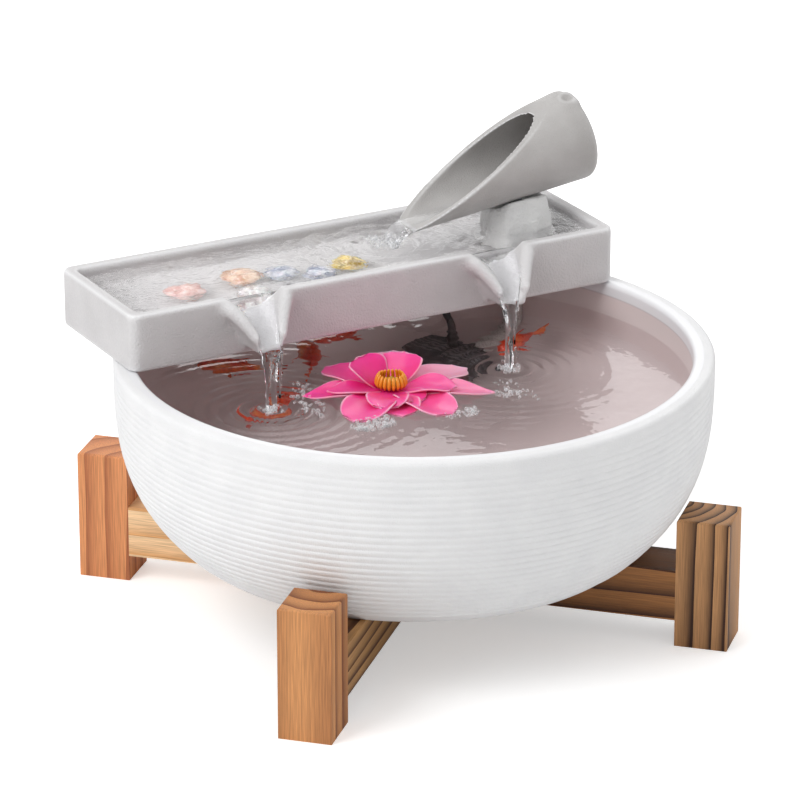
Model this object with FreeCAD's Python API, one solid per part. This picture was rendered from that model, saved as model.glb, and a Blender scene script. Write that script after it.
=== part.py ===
"""Tabletop water fountain with its submersible pump, in millimetres.

A ribbed ceramic bowl stands on a crossed timber stand.  A ceramic tray with two pouring
lips lies across the back of its rim, and carries a bamboo-cut spout tube on a rock.  A small
magnetic-drive pump on the bowl's floor lifts the water through a hose and a riser into the
spout.  A lotus floats in the bowl, and goldfish and glass stones dress it.

Frame: +Z up, X along the tray, +Y towards the back.  The origin is on the bowl's axis, at
the height of the surface that the stand's posts stand on.
"""
import FreeCAD
import Part
import math
import os

# ---------------------------------------------------------------- driving dimensions
# Stand: square timber, two half-lapped beams on the diagonals and a post on each end.
STOCK = 34.0
POST_HEIGHT = 86.0
POST_GAP = 1.0            # from the bowl's wall to the nearest post, at the post's top
POST_ROUND = 1.5
BEAM_TOP = 51.5
BOWL_SHIFT = 6.0          # the bowl rests this far off the stand's middle, along one beam
DOWEL_R = 4.0
DOWEL_LENGTH = 30.0
DOWEL_SPACING = 16.0

# Bowl
RIM_R = 190.0
BOWL_HEIGHT = 123.5       # from the beams up to the rim
RIM_WIDTH = 14.0
RIM_EDGE = 3.0
WALL_SPREAD = 45.0         # from the foot out to the rim
FOOT_RING = 12.0
FOOT_RECESS = 3.0
FLOOR_THICK = 14.0
FLOOR_INSET = 9.0         # from the foot's radius to the flat floor's
BOWL_FULLNESS = 3.25      # exponent of the wall's curve, higher is fuller at the rim
WATER_DROP = 22.0         # from the rim down to the water

# Tray and its pouring lips
TRAY_LENGTH = 350.0
TRAY_WIDTH = 105.0
TRAY_HEIGHT = 38.0
TRAY_SETBACK = 39.3       # from the rim's back edge forward to the tray's back face
TRAY_WALL = 8.0
TRAY_FLOOR = 8.0
TRAY_CORNER = 7.0
LIP_SPACING = 176.0       # between the middles of the two lips
LIP_WIDTH = 50.0
LIP_TIP_WIDTH = 19.0
LIP_REACH = 21.0
LIP_TIP_RISE = 5.0        # from the tray's underside up to the lip's lowest edge
LIP_TIP_HEIGHT = 10.0
LIP_WALL = 3.5
SPILL_DEPTH = 10.0        # from the tray's edge down to the lip's spill level

# Pump, in its own frame: front towards -Y, its base plate's underside at z = 0
PUMP_TURN = 20.0          # degrees
PUMP_WIDTH = 38.0
PUMP_FRONT = 25.0         # from the pump's middle to its front face
PUMP_BACK = 29.0
PUMP_HEIGHT = 34.0
PUMP_CORNER = 12.0
PUMP_CROWN = 6.0          # radius along the top edge
PUMP_WALL = 2.5
PUMP_FEET = 6.0
BASE_THICK = 3.0
FOOT_CUP_R = 6.0
FOOT_STEM_R = 2.1
FOOT_SIDE = 12.0          # a suction foot's middle, off the pump's middle line
FOOT_END_INSET = 9.0      # and in from the pump's front and back
WELL_R = 8.0              # the rotor runs in this wet well
WELL_DEPTH = 15.0
WELL_WALL = 1.3
CHAMBER_R = 11.5
CHAMBER_DEPTH = 9.0
CHAMBER_WALL = 2.0
SEAL_WIDTH = 1.0
SEAL_THICK = 1.2
SHAFT_R = 1.0
RUNNING = 0.05            # radial running clearance
BUSH_R = 3.2
FRONT_BUSH_R = 2.2
BUSH_LENGTH = 2.8
SHAFT_END_GAP = 0.9       # from a bush's outer face to the shaft's end
MAGNET_R = 6.6
MAGNET_GAP = 0.4          # end play between the magnet and the rear bush
IMPELLER_R = 9.8
IMPELLER_GAP = 0.6        # and between the impeller and the front bush
IMPELLER_BLADES = 6
IMPELLER_PLATE = 1.2
BLADE_THICK = 1.0
EYE_R = 1.9               # the chamber's three inlet holes
EYE_REACH = 5.2
CORE_LEG = 3.4
CORE_HEIGHT = 10.0
BOBBIN_HALF = 8.0
BOBBIN_WALL = 0.8
WINDING_BUILD = 2.0
CORE_GAP = 0.2            # from the core to what it stands beside
CORE_FRONT_GAP = 1.5
STRAINER_WALL = 2.0
STRAINER_GAP = 0.2
SLOT_WIDTH = 2.0
SLOT_PITCH = 4.0
SIDE_SLOTS = 5
DIAL_R = 7.0
DIAL_THICK = 1.8
DIAL_GAP = 0.3
DIAL_PIN_R = 1.5
PORT_R = 1.8
PORT_REACH = 3.85
OUTLET_R = 4.95
OUTLET_BORE = 3.4
OUTLET_LENGTH = 33.0      # from the pump's middle to the outlet's end
OUTLET_RISE = 6.0         # above the rotor's axis
OUTLET_SETBACK = 0.3      # from the motor housing's front face to the outlet's side
OUTLET_MARGIN = 0.6       # round the outlet, where it leaves through the strainer
RELIEF_X = 10.5           # where the cord leaves the motor housing's top
RELIEF_Y = 5.0
RELIEF_BASE_R = 4.6
RELIEF_TIP_WALL = 0.7
RELIEF_BOSS_WALL = 0.8
RELIEF_LENGTH = 20.0

# Hose and riser
RISER_INSET = 45.9        # from the tray's end in to the riser
HOSE_BEND = 28.0          # from the outlet's end across to the riser
HOSE_WALL = 1.0
HOSE_CLEAR = 0.05
HOSE_END_GAP = 2.0        # from the pump's side to the hose's end
HOSE_DROP = 23.0          # from the bowl's rim down to the hose's upper end
RISER_DIP = 18.0          # how far the riser reaches down into the hose
RISER_BORE = 3.6
RISER_PROUD = 1.5         # the riser's end above the tube's inner floor
GROMMET_WALL = 1.05
GROMMET_LIP = 3.0
GROMMET_LIP_THICK = 2.0

# Spout tube, a cone with a slanting cut, and the rock that carries it
SPOUT_OVERHANG = 0.5      # its closed end stands this far past the tray's end
SPOUT_RISE = 50.0         # from the tray's top edge up to the middle of the closed end
SPOUT_END_R = 30.5
SPOUT_TIP_R = 21.5
SPOUT_TILT = 11.4         # degrees down towards the tip
SPOUT_LENGTH = 134.0
SPOUT_WALL = 4.5
SPOUT_END_WALL = 6.0
SPOUT_CUT_START = 13.0    # along the tube's top, from the closed end to the slanting cut
ROCK_GAP = 0.4
ROCK_BASE = [(-29, -8), (-20, -25), (4, -30), (24, -22), (30, 2), (20, 26), (-6, 29), (-25, 15)]
ROCK_NARROWING = 0.7

# Stones: name, middles as (x, y from the tray's front), half width, height
STONES = [
    ("pebble_pink", [(-113.0, 50.3)], 14.0, 19.0),
    ("pebble_peach", [(-69.5, 58.3)], 14.0, 19.0),
    ("pebble_clear", [(-75.5, 27.8)], 12.5, 17.0),
    ("pebble_blue", [(-43.0, 52.8), (-21.5, 41.3)], 11.5, 17.0),
    ("pebble_yellow", [(4.0, 47.8)], 12.5, 20.0),
]
STONE_GAP = 0.3
STONE_FLAT_ANGLE = 78.0
STONE_STEPS = 6

# Lotus
LOTUS_X = -21.0
LOTUS_Y = -8.0
LOTUS_R = 61.0
LOTUS_INNER_R = 42.0
LOTUS_PAD_R = 24.0
LOTUS_PAD_THICK = 6.0
LOTUS_HUB_R = 17.0
LOTUS_TIER_GAP = 1.5
PETAL_THICK = 1.6
PETAL_WIDTH = 30.0
PETAL_BROADEST = 0.55     # where a petal is widest, as a share of its length
OUTER_PETALS = 8
INNER_PETALS = 6
OUTER_TILT = 6.0
INNER_TILT = 30.0
STAMEN_R = 9.5
STAMEN_HEIGHT = 15.0
SEED_R = 6.5

# Goldfish: middle x and y, depth below the water, heading in degrees, body length
GOLDFISH = [
    (-70.0, 118.0, 41.0, 150.0, 58.0),
    (-70.0, 57.0, 47.0, 20.0, 62.0),
    (-12.0, 118.0, 49.0, 75.0, 60.0),
    (20.0, 132.0, 31.0, 200.0, 72.0),
    (106.0, 57.0, 29.0, 215.0, 52.0),
]
FISH_FATNESS = 0.2        # body radius over body length
FIN_THICK = 2.0

# Power cord
CORD_R = 2.6
CORD_RISE = 25.0          # straight up out of the relief
ARC_SHARE = 0.45          # of each run between two points, taken by the bend at its end
CORD_POINTS = [
    (72.5, 104.7, 168.0), (63.8, 127.0, 167.0), (55.0, 149.0, 165.5), (47.0, 168.5, 186.5),
    (41.0, 193.0, 188.5), (37.0, 211.5, 172.0), (34.5, 219.5, 145.0), (33.5, 221.5, 111.0),
    (33.5, 222.5, 75.0), (37.0, 224.0, 43.0), (50.0, 226.0, 17.5), (72.0, 227.5, CORD_R),
    (97.0, 228.0, CORD_R),
]
COIL_MIDDLE_R = 28.5      # at the middle of the coil's turns
COIL_LAYERS = 2
COIL_LEVELS = 3
PLUG_LEAD = [(118.0, 227.0, 10.5), (138.0, 223.0, 7.5)]
PLUG_LENGTH = 28.0
PLUG_WIDTH = 21.0
PLUG_HEIGHT = 15.0
PLUG_CORNER = 4.0
PLUG_NECK = 8.0
PIN_SPACING = 12.7
PIN_WIDTH = 6.3
PIN_THICK = 1.5
PIN_LENGTH = 16.0

# ---------------------------------------------------------------- derived places
STAND_X = -BOWL_SHIFT * math.sqrt(0.5)
STAND_Y = BOWL_SHIFT * math.sqrt(0.5)
BEAM_BOTTOM = BEAM_TOP - STOCK
RIM_Z = BEAM_TOP + BOWL_HEIGHT
EDGE_Z = RIM_Z - RIM_EDGE
FLOOR_Z = BEAM_TOP + FLOOR_THICK
FOOT_R = RIM_R - WALL_SPREAD
FLOOR_R = FOOT_R - FLOOR_INSET
INNER_RIM_R = RIM_R - RIM_WIDTH
WATER_Z = RIM_Z - WATER_DROP
TRAY_FRONT = RIM_R - TRAY_SETBACK - TRAY_WIDTH
TRAY_TOP = RIM_Z + TRAY_HEIGHT
TRAY_FLOOR_Z = RIM_Z + TRAY_FLOOR
SPOUT_END_X = TRAY_LENGTH / 2 + SPOUT_OVERHANG
SPOUT_END_Z = TRAY_TOP + SPOUT_RISE
HOSE_R = OUTLET_R + HOSE_CLEAR + HOSE_WALL
HOSE_TOP = RIM_Z - HOSE_DROP
GROMMET_NECK_R = OUTLET_R + GROMMET_WALL
GROMMET_R = GROMMET_NECK_R + GROMMET_LIP
PUMP_Z = FLOOR_Z + PUMP_FEET
AXIS_Z = PUMP_HEIGHT / 2 + 1.0
OUTLET_Y = -OUTLET_R - OUTLET_SETBACK
TURN_COS = math.cos(math.radians(PUMP_TURN))
TURN_SIN = math.sin(math.radians(PUMP_TURN))
RISER_X = TRAY_LENGTH / 2 - RISER_INSET
RISER_Y = TRAY_FRONT + TRAY_WIDTH / 2
PUMP_X = RISER_X - (OUTLET_LENGTH + HOSE_BEND) * TURN_COS + OUTLET_Y * TURN_SIN
PUMP_Y = RISER_Y - (OUTLET_LENGTH + HOSE_BEND) * TURN_SIN - OUTLET_Y * TURN_COS


def wall_radius(low_r, high_r, drop):
    """Radius of the bowl's wall, where drop runs from 1 at its foot to 0 at its rim."""
    return low_r + (high_r - low_r) * (1 - drop ** BOWL_FULLNESS)


POST_DROP = (EDGE_Z - POST_HEIGHT) / (EDGE_Z - BEAM_TOP)
POST_REACH = wall_radius(FOOT_R, RIM_R, POST_DROP) + BOWL_SHIFT + POST_GAP + STOCK / 2


def vec(x, y, z):
    return FreeCAD.Vector(x, y, z)


UP = vec(0, 0, 1)
ALONG_X = vec(1, 0, 0)
ALONG_Y = vec(0, 1, 0)


def from_pump(x, y, z):
    """A point of the pump's own frame, in the fountain's frame."""
    return vec(PUMP_X + x * TURN_COS - y * TURN_SIN, PUMP_Y + x * TURN_SIN + y * TURN_COS, PUMP_Z + z)


RISER = vec(RISER_X, RISER_Y, 0)


# ---------------------------------------------------------------- shape helpers
def block(x, y, z):
    """A box from three (low, high) pairs."""
    return Part.makeBox(x[1] - x[0], y[1] - y[0], z[1] - z[0], vec(x[0], y[0], z[0]))


def rod(radius, start, direction, length):
    return Part.makeCylinder(radius, length, start, direction)


def ring(outer, inner, start, direction, length):
    return rod(outer, start, direction, length).cut(rod(inner, start, direction, length))


def rounded_block(x, y, z, corner):
    """A box with its four upright edges rounded."""
    body = block(x, y, z)
    upright = [e for e in body.Edges if abs(e.Vertexes[0].Z - e.Vertexes[1].Z) > 0.5 * (z[1] - z[0])]
    return body.makeFillet(corner, upright)


def revolved(edges):
    return Part.Face(Part.Wire(edges)).revolve(vec(0, 0, 0), UP, 360)


def line(a, b):
    return Part.makeLine(vec(a[0], 0, a[1]), vec(b[0], 0, b[1]))


def arc(a, middle, b):
    return Part.Arc(vec(a[0], 0, a[1]), vec(middle[0], 0, middle[1]), vec(b[0], 0, b[1])).toShape()


def polygon(points):
    return Part.makePolygon(points + [points[0]])


def loft(first, second):
    return Part.makeLoft([polygon(first), polygon(second)], True, True)


def save(name, shape):
    """Write one node, and say so."""
    solids = len(shape.Solids)
    print(f"{name}: {solids} solid(s), valid {shape.isValid()}, {shape.Volume / 1000:.2f} cm3")
    shape.exportStep(f"parts/{name}.step")


# ---------------------------------------------------------------- stand
def place_on_stand(shape, heading):
    """Turn a piece made along +X to a diagonal of the stand, about the stand's middle."""
    shape.rotate(vec(0, 0, 0), UP, heading)
    shape.translate(vec(STAND_X, STAND_Y, 0))
    return shape


def dowel_starts():
    inner_face = POST_REACH - STOCK / 2
    middle_z = (BEAM_BOTTOM + BEAM_TOP) / 2
    return [vec(inner_face - DOWEL_LENGTH / 2, 0, middle_z + side * DOWEL_SPACING / 2) for side in (-1, 1)]


def dowels():
    """Two dowels of the joint between one beam's end and its post, made along +X."""
    return [rod(DOWEL_R, start, ALONG_X, DOWEL_LENGTH) for start in dowel_starts()]


def beam(heading, notch_low, notch_high):
    """A beam made along +X, with its half-lap notch and the holes for its dowels."""
    half = POST_REACH - STOCK / 2
    body = block((-half, half), (-STOCK / 2, STOCK / 2), (BEAM_BOTTOM, BEAM_TOP))
    body = body.cut(block((-STOCK / 2, STOCK / 2), (-STOCK, STOCK), (notch_low, notch_high)))
    for hole in dowels():
        body = body.cut(hole)
        hole.rotate(vec(0, 0, 0), UP, 180)
        body = body.cut(hole)
    return place_on_stand(body, heading)


def post(heading):
    near = POST_REACH - STOCK / 2
    body = block((near, near + STOCK), (-STOCK / 2, STOCK / 2), (0, POST_HEIGHT))
    edges = [e for e in body.Edges if min(v.Z for v in e.Vertexes) > POST_HEIGHT - 1]
    body = body.makeFillet(POST_ROUND, edges)
    for hole in dowels():
        body = body.cut(hole)
    return place_on_stand(body, heading)


def build_stand():
    lap = (BEAM_BOTTOM + BEAM_TOP) / 2
    save("beam_lower", beam(45, lap, BEAM_TOP))
    save("beam_upper", beam(-45, BEAM_BOTTOM, lap))
    corners = {"post_front_left": 225, "post_front_right": -45, "post_back_right": 45, "post_back_left": 135}
    all_dowels = []
    for name, heading in corners.items():
        save(name, post(heading))
        all_dowels += [place_on_stand(peg, heading) for peg in dowels()]
    save("joint_dowels", Part.makeCompound(all_dowels))


# ---------------------------------------------------------------- bowl
def wall_curve(low_r, high_r, low_z, high_z):
    """The bowl's wall, one side of it, from its foot or floor up to its rim."""
    steps = [1.0, 0.85, 0.7, 0.55, 0.4, 0.2, 0.0]
    points = []
    for s in steps:
        points.append(vec(wall_radius(low_r, high_r, s), 0, high_z - s * (high_z - low_z)))
    curve = Part.BSplineCurve()
    curve.interpolate(points)
    return curve.toShape()


def build_bowl():
    soft = RIM_EDGE * (1 - math.sqrt(0.5))
    ring_in = FOOT_R - FOOT_RING
    recess_z = BEAM_TOP + FOOT_RECESS
    outline = [
        wall_curve(FOOT_R, RIM_R, BEAM_TOP, EDGE_Z),
        arc((RIM_R, EDGE_Z), (RIM_R - soft, RIM_Z - soft), (RIM_R - RIM_EDGE, RIM_Z)),
        line((RIM_R - RIM_EDGE, RIM_Z), (INNER_RIM_R + RIM_EDGE, RIM_Z)),
        arc((INNER_RIM_R + RIM_EDGE, RIM_Z), (INNER_RIM_R + soft, RIM_Z - soft), (INNER_RIM_R, EDGE_Z)),
        wall_curve(FLOOR_R, INNER_RIM_R, FLOOR_Z, EDGE_Z),
        line((FLOOR_R, FLOOR_Z), (0, FLOOR_Z)),
        line((0, FLOOR_Z), (0, recess_z)),
        line((0, recess_z), (ring_in, recess_z)),
        line((ring_in, recess_z), (ring_in, BEAM_TOP)),
        line((ring_in, BEAM_TOP), (FOOT_R, BEAM_TOP)),
    ]
    save("bowl", revolved(outline))


# ---------------------------------------------------------------- tray
def trapezium(middle_x, y, low, high):
    """Four corners in a plane across Y; low and high are (half width, z)."""
    return [
        vec(middle_x - low[0], y, low[1]),
        vec(middle_x + low[0], y, low[1]),
        vec(middle_x + high[0], y, high[1]),
        vec(middle_x - high[0], y, high[1]),
    ]


def lip(middle_x):
    """One pouring lip, as the body to add to the tray's front wall and the channel to cut."""
    half, tip_half = LIP_WIDTH / 2, LIP_TIP_WIDTH / 2
    tip_low = RIM_Z + LIP_TIP_RISE
    tip_high = tip_low + LIP_TIP_HEIGHT
    root_y = TRAY_FRONT + TRAY_WALL / 2
    tip_y = TRAY_FRONT - LIP_REACH
    body = loft(trapezium(middle_x, root_y, (tip_half, tip_low), (half, TRAY_TOP)),
                trapezium(middle_x, tip_y, (tip_half - LIP_WALL / 2, tip_low), (tip_half, tip_high)))
    over = TRAY_TOP + 1
    spill = TRAY_TOP - SPILL_DEPTH
    back_y = TRAY_FRONT + TRAY_WALL + 1
    channel_foot = tip_half - LIP_WALL
    top = (half - LIP_WALL, over)
    channel = loft(trapezium(middle_x, back_y, (channel_foot, spill), top),
                   trapezium(middle_x, tip_y - 1, (channel_foot, tip_low + LIP_WALL), top))
    return body, channel


def build_tray():
    x = (-TRAY_LENGTH / 2, TRAY_LENGTH / 2)
    y = (TRAY_FRONT, TRAY_FRONT + TRAY_WIDTH)
    shell = rounded_block(x, y, (RIM_Z, TRAY_TOP), TRAY_CORNER)
    inner_corner = max(TRAY_CORNER - TRAY_WALL / 2, 2.0)
    pocket = rounded_block((x[0] + TRAY_WALL, x[1] - TRAY_WALL), (y[0] + TRAY_WALL, y[1] - TRAY_WALL),
                           (TRAY_FLOOR_Z, TRAY_TOP + 1), inner_corner)
    for side in (-1, 1):
        body, channel = lip(side * LIP_SPACING / 2)
        shell = shell.fuse(body).cut(channel)
    shell = shell.cut(pocket)
    shell = shell.cut(rod(GROMMET_NECK_R, vec(RISER.x, RISER.y, RIM_Z - 1), UP, TRAY_FLOOR + 2))
    save("tray", shell.removeSplitter())


def build_riser():
    """The stiff tube that carries the water from the hose up into the spout, and its seal."""
    low = HOSE_TOP - RISER_DIP
    high = spout_underside(RISER.x) + SPOUT_WALL + RISER_PROUD
    save("riser_tube", ring(OUTLET_R, RISER_BORE, vec(RISER.x, RISER.y, low), UP, high - low))
    foot = vec(RISER.x, RISER.y, RIM_Z - GROMMET_LIP_THICK)
    seal = rod(GROMMET_R, foot, UP, GROMMET_LIP_THICK)
    seal = seal.fuse(rod(GROMMET_NECK_R, foot, UP, TRAY_FLOOR + 2 * GROMMET_LIP_THICK))
    seal = seal.fuse(rod(GROMMET_R, vec(RISER.x, RISER.y, TRAY_FLOOR_Z), UP, GROMMET_LIP_THICK))
    seal = seal.cut(rod(OUTLET_R, foot, UP, 2 * TRAY_FLOOR + 2 * GROMMET_LIP_THICK))
    save("riser_grommet", seal.removeSplitter())


# ---------------------------------------------------------------- spout and rock
def spout_axis():
    tilt = math.radians(SPOUT_TILT)
    return vec(-math.cos(tilt), 0, -math.sin(tilt))


def spout_underside(x):
    """Height of the spout tube's lowest line at a place along X."""
    run = (SPOUT_END_X - x) / math.cos(math.radians(SPOUT_TILT))
    radius = SPOUT_END_R + (SPOUT_TIP_R - SPOUT_END_R) * run / SPOUT_LENGTH
    return SPOUT_END_Z + run * spout_axis().z - radius


def spout_cone(growth, start, length):
    """The tube's cone, larger or smaller by growth, from start along its axis."""
    slope = (SPOUT_TIP_R - SPOUT_END_R) / SPOUT_LENGTH
    near = SPOUT_END_R + slope * start + growth
    far = near + slope * length
    origin = vec(SPOUT_END_X, RISER.y, SPOUT_END_Z) + spout_axis() * start
    return Part.makeCone(near, far, length, origin, spout_axis())


def build_spout():
    body = spout_cone(0, 0, SPOUT_LENGTH)
    closed_end = [e for e in body.Edges if e.BoundBox.XMin > SPOUT_END_X - 2 * SPOUT_WALL]
    body = body.makeFillet(SPOUT_WALL, closed_end)
    body = body.cut(spout_cone(-SPOUT_WALL, SPOUT_END_WALL, SPOUT_LENGTH))
    axis = spout_axis()
    across = vec(axis.z, 0, -axis.x)
    origin = vec(SPOUT_END_X, RISER.y, SPOUT_END_Z)
    top = origin + axis * SPOUT_CUT_START + across * (SPOUT_END_R + 1)
    tip = origin + axis * (SPOUT_LENGTH - 2) - across * (SPOUT_TIP_R - SPOUT_WALL)
    far = tip + (tip - top) * 0.5
    above = across * (3 * SPOUT_END_R)
    side = vec(0, -2 * SPOUT_END_R, 0)
    cutter = Part.Face(polygon([top + side, far + side, far + side + above, top + side + above]))
    body = body.cut(cutter.extrude(vec(0, 4 * SPOUT_END_R, 0)))
    hole_z = spout_underside(RISER.x) - SPOUT_WALL
    body = body.cut(rod(OUTLET_R + ROCK_GAP, vec(RISER.x, RISER.y, hole_z), UP, 3 * SPOUT_WALL))
    save("spout_tube", body)


def build_rock():
    """A rough stone that stands on the tray's floor around the riser, and cradles the tube."""
    top_z = spout_underside(RISER.x) + SPOUT_WALL
    low = [vec(RISER.x + x, RISER.y + y, TRAY_FLOOR_Z + STONE_GAP) for x, y in ROCK_BASE]
    high = [vec(RISER.x + x * ROCK_NARROWING, RISER.y + y * ROCK_NARROWING, top_z) for x, y in ROCK_BASE]
    stone = loft(low, high)
    stone = stone.cut(spout_cone(ROCK_GAP, 0, SPOUT_LENGTH))
    foot = vec(RISER.x, RISER.y, TRAY_FLOOR_Z)
    stone = stone.cut(rod(GROMMET_R + ROCK_GAP, foot, UP, GROMMET_LIP_THICK + ROCK_GAP))
    stone = stone.cut(rod(OUTLET_R + ROCK_GAP, foot, UP, TRAY_HEIGHT * 2))
    save("rock_support", stone)


def pebble(x, y, half_width, height):
    """A smooth stone, an oval turned about its upright axis, with a small flat to stand on."""
    points = []
    for step in range(-STONE_STEPS, STONE_STEPS + 1):
        lean = math.radians(STONE_FLAT_ANGLE * step / STONE_STEPS)
        points.append(vec(half_width * math.cos(lean), 0, height / 2 * math.sin(lean)))
    side = Part.BSplineCurve()
    side.interpolate(points)
    low, high = (points[0].x, points[0].z), (points[-1].x, points[-1].z)
    closing = [line(high, (0, high[1])), line((0, high[1]), (0, low[1])), line((0, low[1]), low)]
    stone = revolved([side.toShape()] + closing)
    stone.translate(vec(x, y, TRAY_FLOOR_Z + STONE_GAP - low[1]))
    return stone


def build_stones():
    for name, places, half_width, height in STONES:
        save(name, Part.makeCompound([pebble(x, TRAY_FRONT + y, half_width, height) for x, y in places]))


# ---------------------------------------------------------------- pump
def save_pump(name, shape):
    """Write one node that was made in the pump's own frame; the shape itself stays there."""
    placed = shape.copy()
    placed.rotate(vec(0, 0, 0), UP, PUMP_TURN)
    placed.translate(vec(PUMP_X, PUMP_Y, PUMP_Z))
    save(name, placed)


def pump_outline(inset, z, crown):
    """The pump's oval body, made smaller all round by inset, with its top edge rounded."""
    half = PUMP_WIDTH / 2 - inset
    body = rounded_block((-half, half), (-PUMP_FRONT + inset, PUMP_BACK - inset), z, PUMP_CORNER - inset)
    if crown > 0:
        top = [e for e in body.Edges if min(v.Z for v in e.Vertexes) > z[1] - 0.01]
        body = body.makeFillet(crown, top)
    return body


def core_parts():
    """The stator's laminated core and the bobbin and winding on its yoke."""
    low, high = AXIS_Z - CORE_HEIGHT / 2, AXIS_Z + CORE_HEIGHT / 2
    inner = WELL_R + WELL_WALL + CORE_GAP
    outer = inner + CORE_LEG
    yoke_start = WELL_DEPTH + WELL_WALL + BOBBIN_WALL + WINDING_BUILD + CORE_GAP
    yoke_end = yoke_start + CORE_LEG
    core = block((-outer, outer), (yoke_start, yoke_end), (low, high))
    for side in (-1, 1):
        leg_x = sorted((side * inner, side * outer))
        core = core.fuse(block(leg_x, (BASE_THICK + CORE_FRONT_GAP, yoke_end), (low, high)))
    sleeve = (yoke_start - BOBBIN_WALL, yoke_end + BOBBIN_WALL, low - BOBBIN_WALL, high + BOBBIN_WALL)
    grow = (-WINDING_BUILD, WINDING_BUILD, -WINDING_BUILD, WINDING_BUILD)
    wound = [edge + more for edge, more in zip(sleeve, grow)]
    hollow = block((-BOBBIN_HALF, BOBBIN_HALF), (yoke_start, yoke_end), (low, high))
    tube = block((-BOBBIN_HALF, BOBBIN_HALF), sleeve[0:2], sleeve[2:4])
    inside = BOBBIN_HALF - BOBBIN_WALL
    winding = block((-inside, inside), wound[0:2], wound[2:4]).cut(tube)
    bobbin = tube
    for side in (-1, 1):
        flange_x = sorted((side * BOBBIN_HALF, side * (BOBBIN_HALF - BOBBIN_WALL)))
        bobbin = bobbin.fuse(block(flange_x, wound[0:2], wound[2:4]))
    return core.removeSplitter(), bobbin.cut(hollow).removeSplitter(), winding


def build_motor():
    whole = pump_outline(0, (BASE_THICK, PUMP_HEIGHT), PUMP_CROWN)
    behind = block((-PUMP_WIDTH, PUMP_WIDTH), (0, PUMP_BACK + 1), (0, 2 * PUMP_HEIGHT))
    cavity = pump_outline(PUMP_WALL, (BASE_THICK, PUMP_HEIGHT - PUMP_WALL), 0)
    cavity = cavity.common(block((-PUMP_WIDTH, PUMP_WIDTH), (PUMP_WALL, PUMP_BACK), (0, PUMP_HEIGHT)))
    well_out = rod(WELL_R + WELL_WALL, vec(0, 0, AXIS_Z), ALONG_Y, WELL_DEPTH + WELL_WALL)
    well = rod(WELL_R, vec(0, -1, AXIS_Z), ALONG_Y, WELL_DEPTH + 1)
    cavity = cavity.cut(well_out)
    boss_foot = vec(RELIEF_X, RELIEF_Y, PUMP_HEIGHT / 2)
    boss = rod(RELIEF_BASE_R + RELIEF_BOSS_WALL, boss_foot, UP, PUMP_HEIGHT / 2)
    housing = whole.common(behind).fuse(boss.common(behind)).cut(cavity).cut(well)
    save_pump("motor_housing", housing)
    core, bobbin, winding = core_parts()
    resin = cavity.cut(core).cut(bobbin).cut(winding)
    save_pump("potting_resin", resin)
    save_pump("stator_core", core)
    save_pump("coil_bobbin", bobbin)
    save_pump("coil_winding", winding)


def build_base():
    plate = pump_outline(0, (0, BASE_THICK), 0)
    cups = []
    for x in (-FOOT_SIDE, FOOT_SIDE):
        for y in (-PUMP_FRONT + FOOT_END_INSET, PUMP_BACK - FOOT_END_INSET):
            plate = plate.cut(rod(FOOT_STEM_R, vec(x, y, -1), UP, BASE_THICK + 2))
            cup = Part.makeCone(FOOT_CUP_R, FOOT_STEM_R + 1.2, PUMP_FEET, vec(x, y, -PUMP_FEET), UP)
            cups.append(cup.fuse(rod(FOOT_STEM_R, vec(x, y, 0), UP, BASE_THICK)))
    save_pump("base_plate", plate)
    save_pump("suction_feet", Part.makeCompound(cups))


def build_rotor():
    """The shaft stands still in two bushes, and the magnet and impeller spin on it as one."""
    rear_start = WELL_DEPTH - BUSH_LENGTH
    front_start = -CHAMBER_DEPTH - CHAMBER_WALL
    shaft_start = front_start + SHAFT_END_GAP
    shaft_end = rear_start + BUSH_LENGTH - SHAFT_END_GAP
    shaft = rod(SHAFT_R, vec(0, shaft_start, AXIS_Z), ALONG_Y, shaft_end - shaft_start)
    save_pump("rotor_shaft", shaft)
    save_pump("rear_bush", rod(BUSH_R, vec(0, rear_start, AXIS_Z), ALONG_Y, BUSH_LENGTH).cut(shaft))
    save_pump("front_bush", rod(FRONT_BUSH_R, vec(0, front_start, AXIS_Z), ALONG_Y, BUSH_LENGTH).cut(shaft))
    bore = SHAFT_R + RUNNING
    hub_start = front_start + BUSH_LENGTH + IMPELLER_GAP
    hub_end = 1.0
    plate_start = -1.5 * IMPELLER_PLATE
    magnet_end = rear_start - MAGNET_GAP
    save_pump("rotor_magnet", ring(MAGNET_R, bore, vec(0, hub_end, AXIS_Z), ALONG_Y, magnet_end - hub_end))
    wheel = rod(BUSH_R, vec(0, hub_start, AXIS_Z), ALONG_Y, hub_end - hub_start)
    wheel = wheel.fuse(rod(IMPELLER_R, vec(0, plate_start, AXIS_Z), ALONG_Y, IMPELLER_PLATE))
    for turn in range(IMPELLER_BLADES):
        blade = block((0, IMPELLER_R), (hub_start, plate_start + IMPELLER_PLATE / 2),
                      (AXIS_Z - BLADE_THICK / 2, AXIS_Z + BLADE_THICK / 2))
        blade.rotate(vec(0, 0, AXIS_Z), ALONG_Y, turn * 360 / IMPELLER_BLADES)
        wheel = wheel.fuse(blade)
    round_off = rod(IMPELLER_R, vec(0, hub_start - 1, AXIS_Z), ALONG_Y, 2 * CHAMBER_DEPTH)
    wheel = wheel.common(round_off).cut(rod(bore, vec(0, hub_start - 1, AXIS_Z), ALONG_Y, 2 * CHAMBER_DEPTH))
    save_pump("impeller", wheel.removeSplitter())


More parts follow.
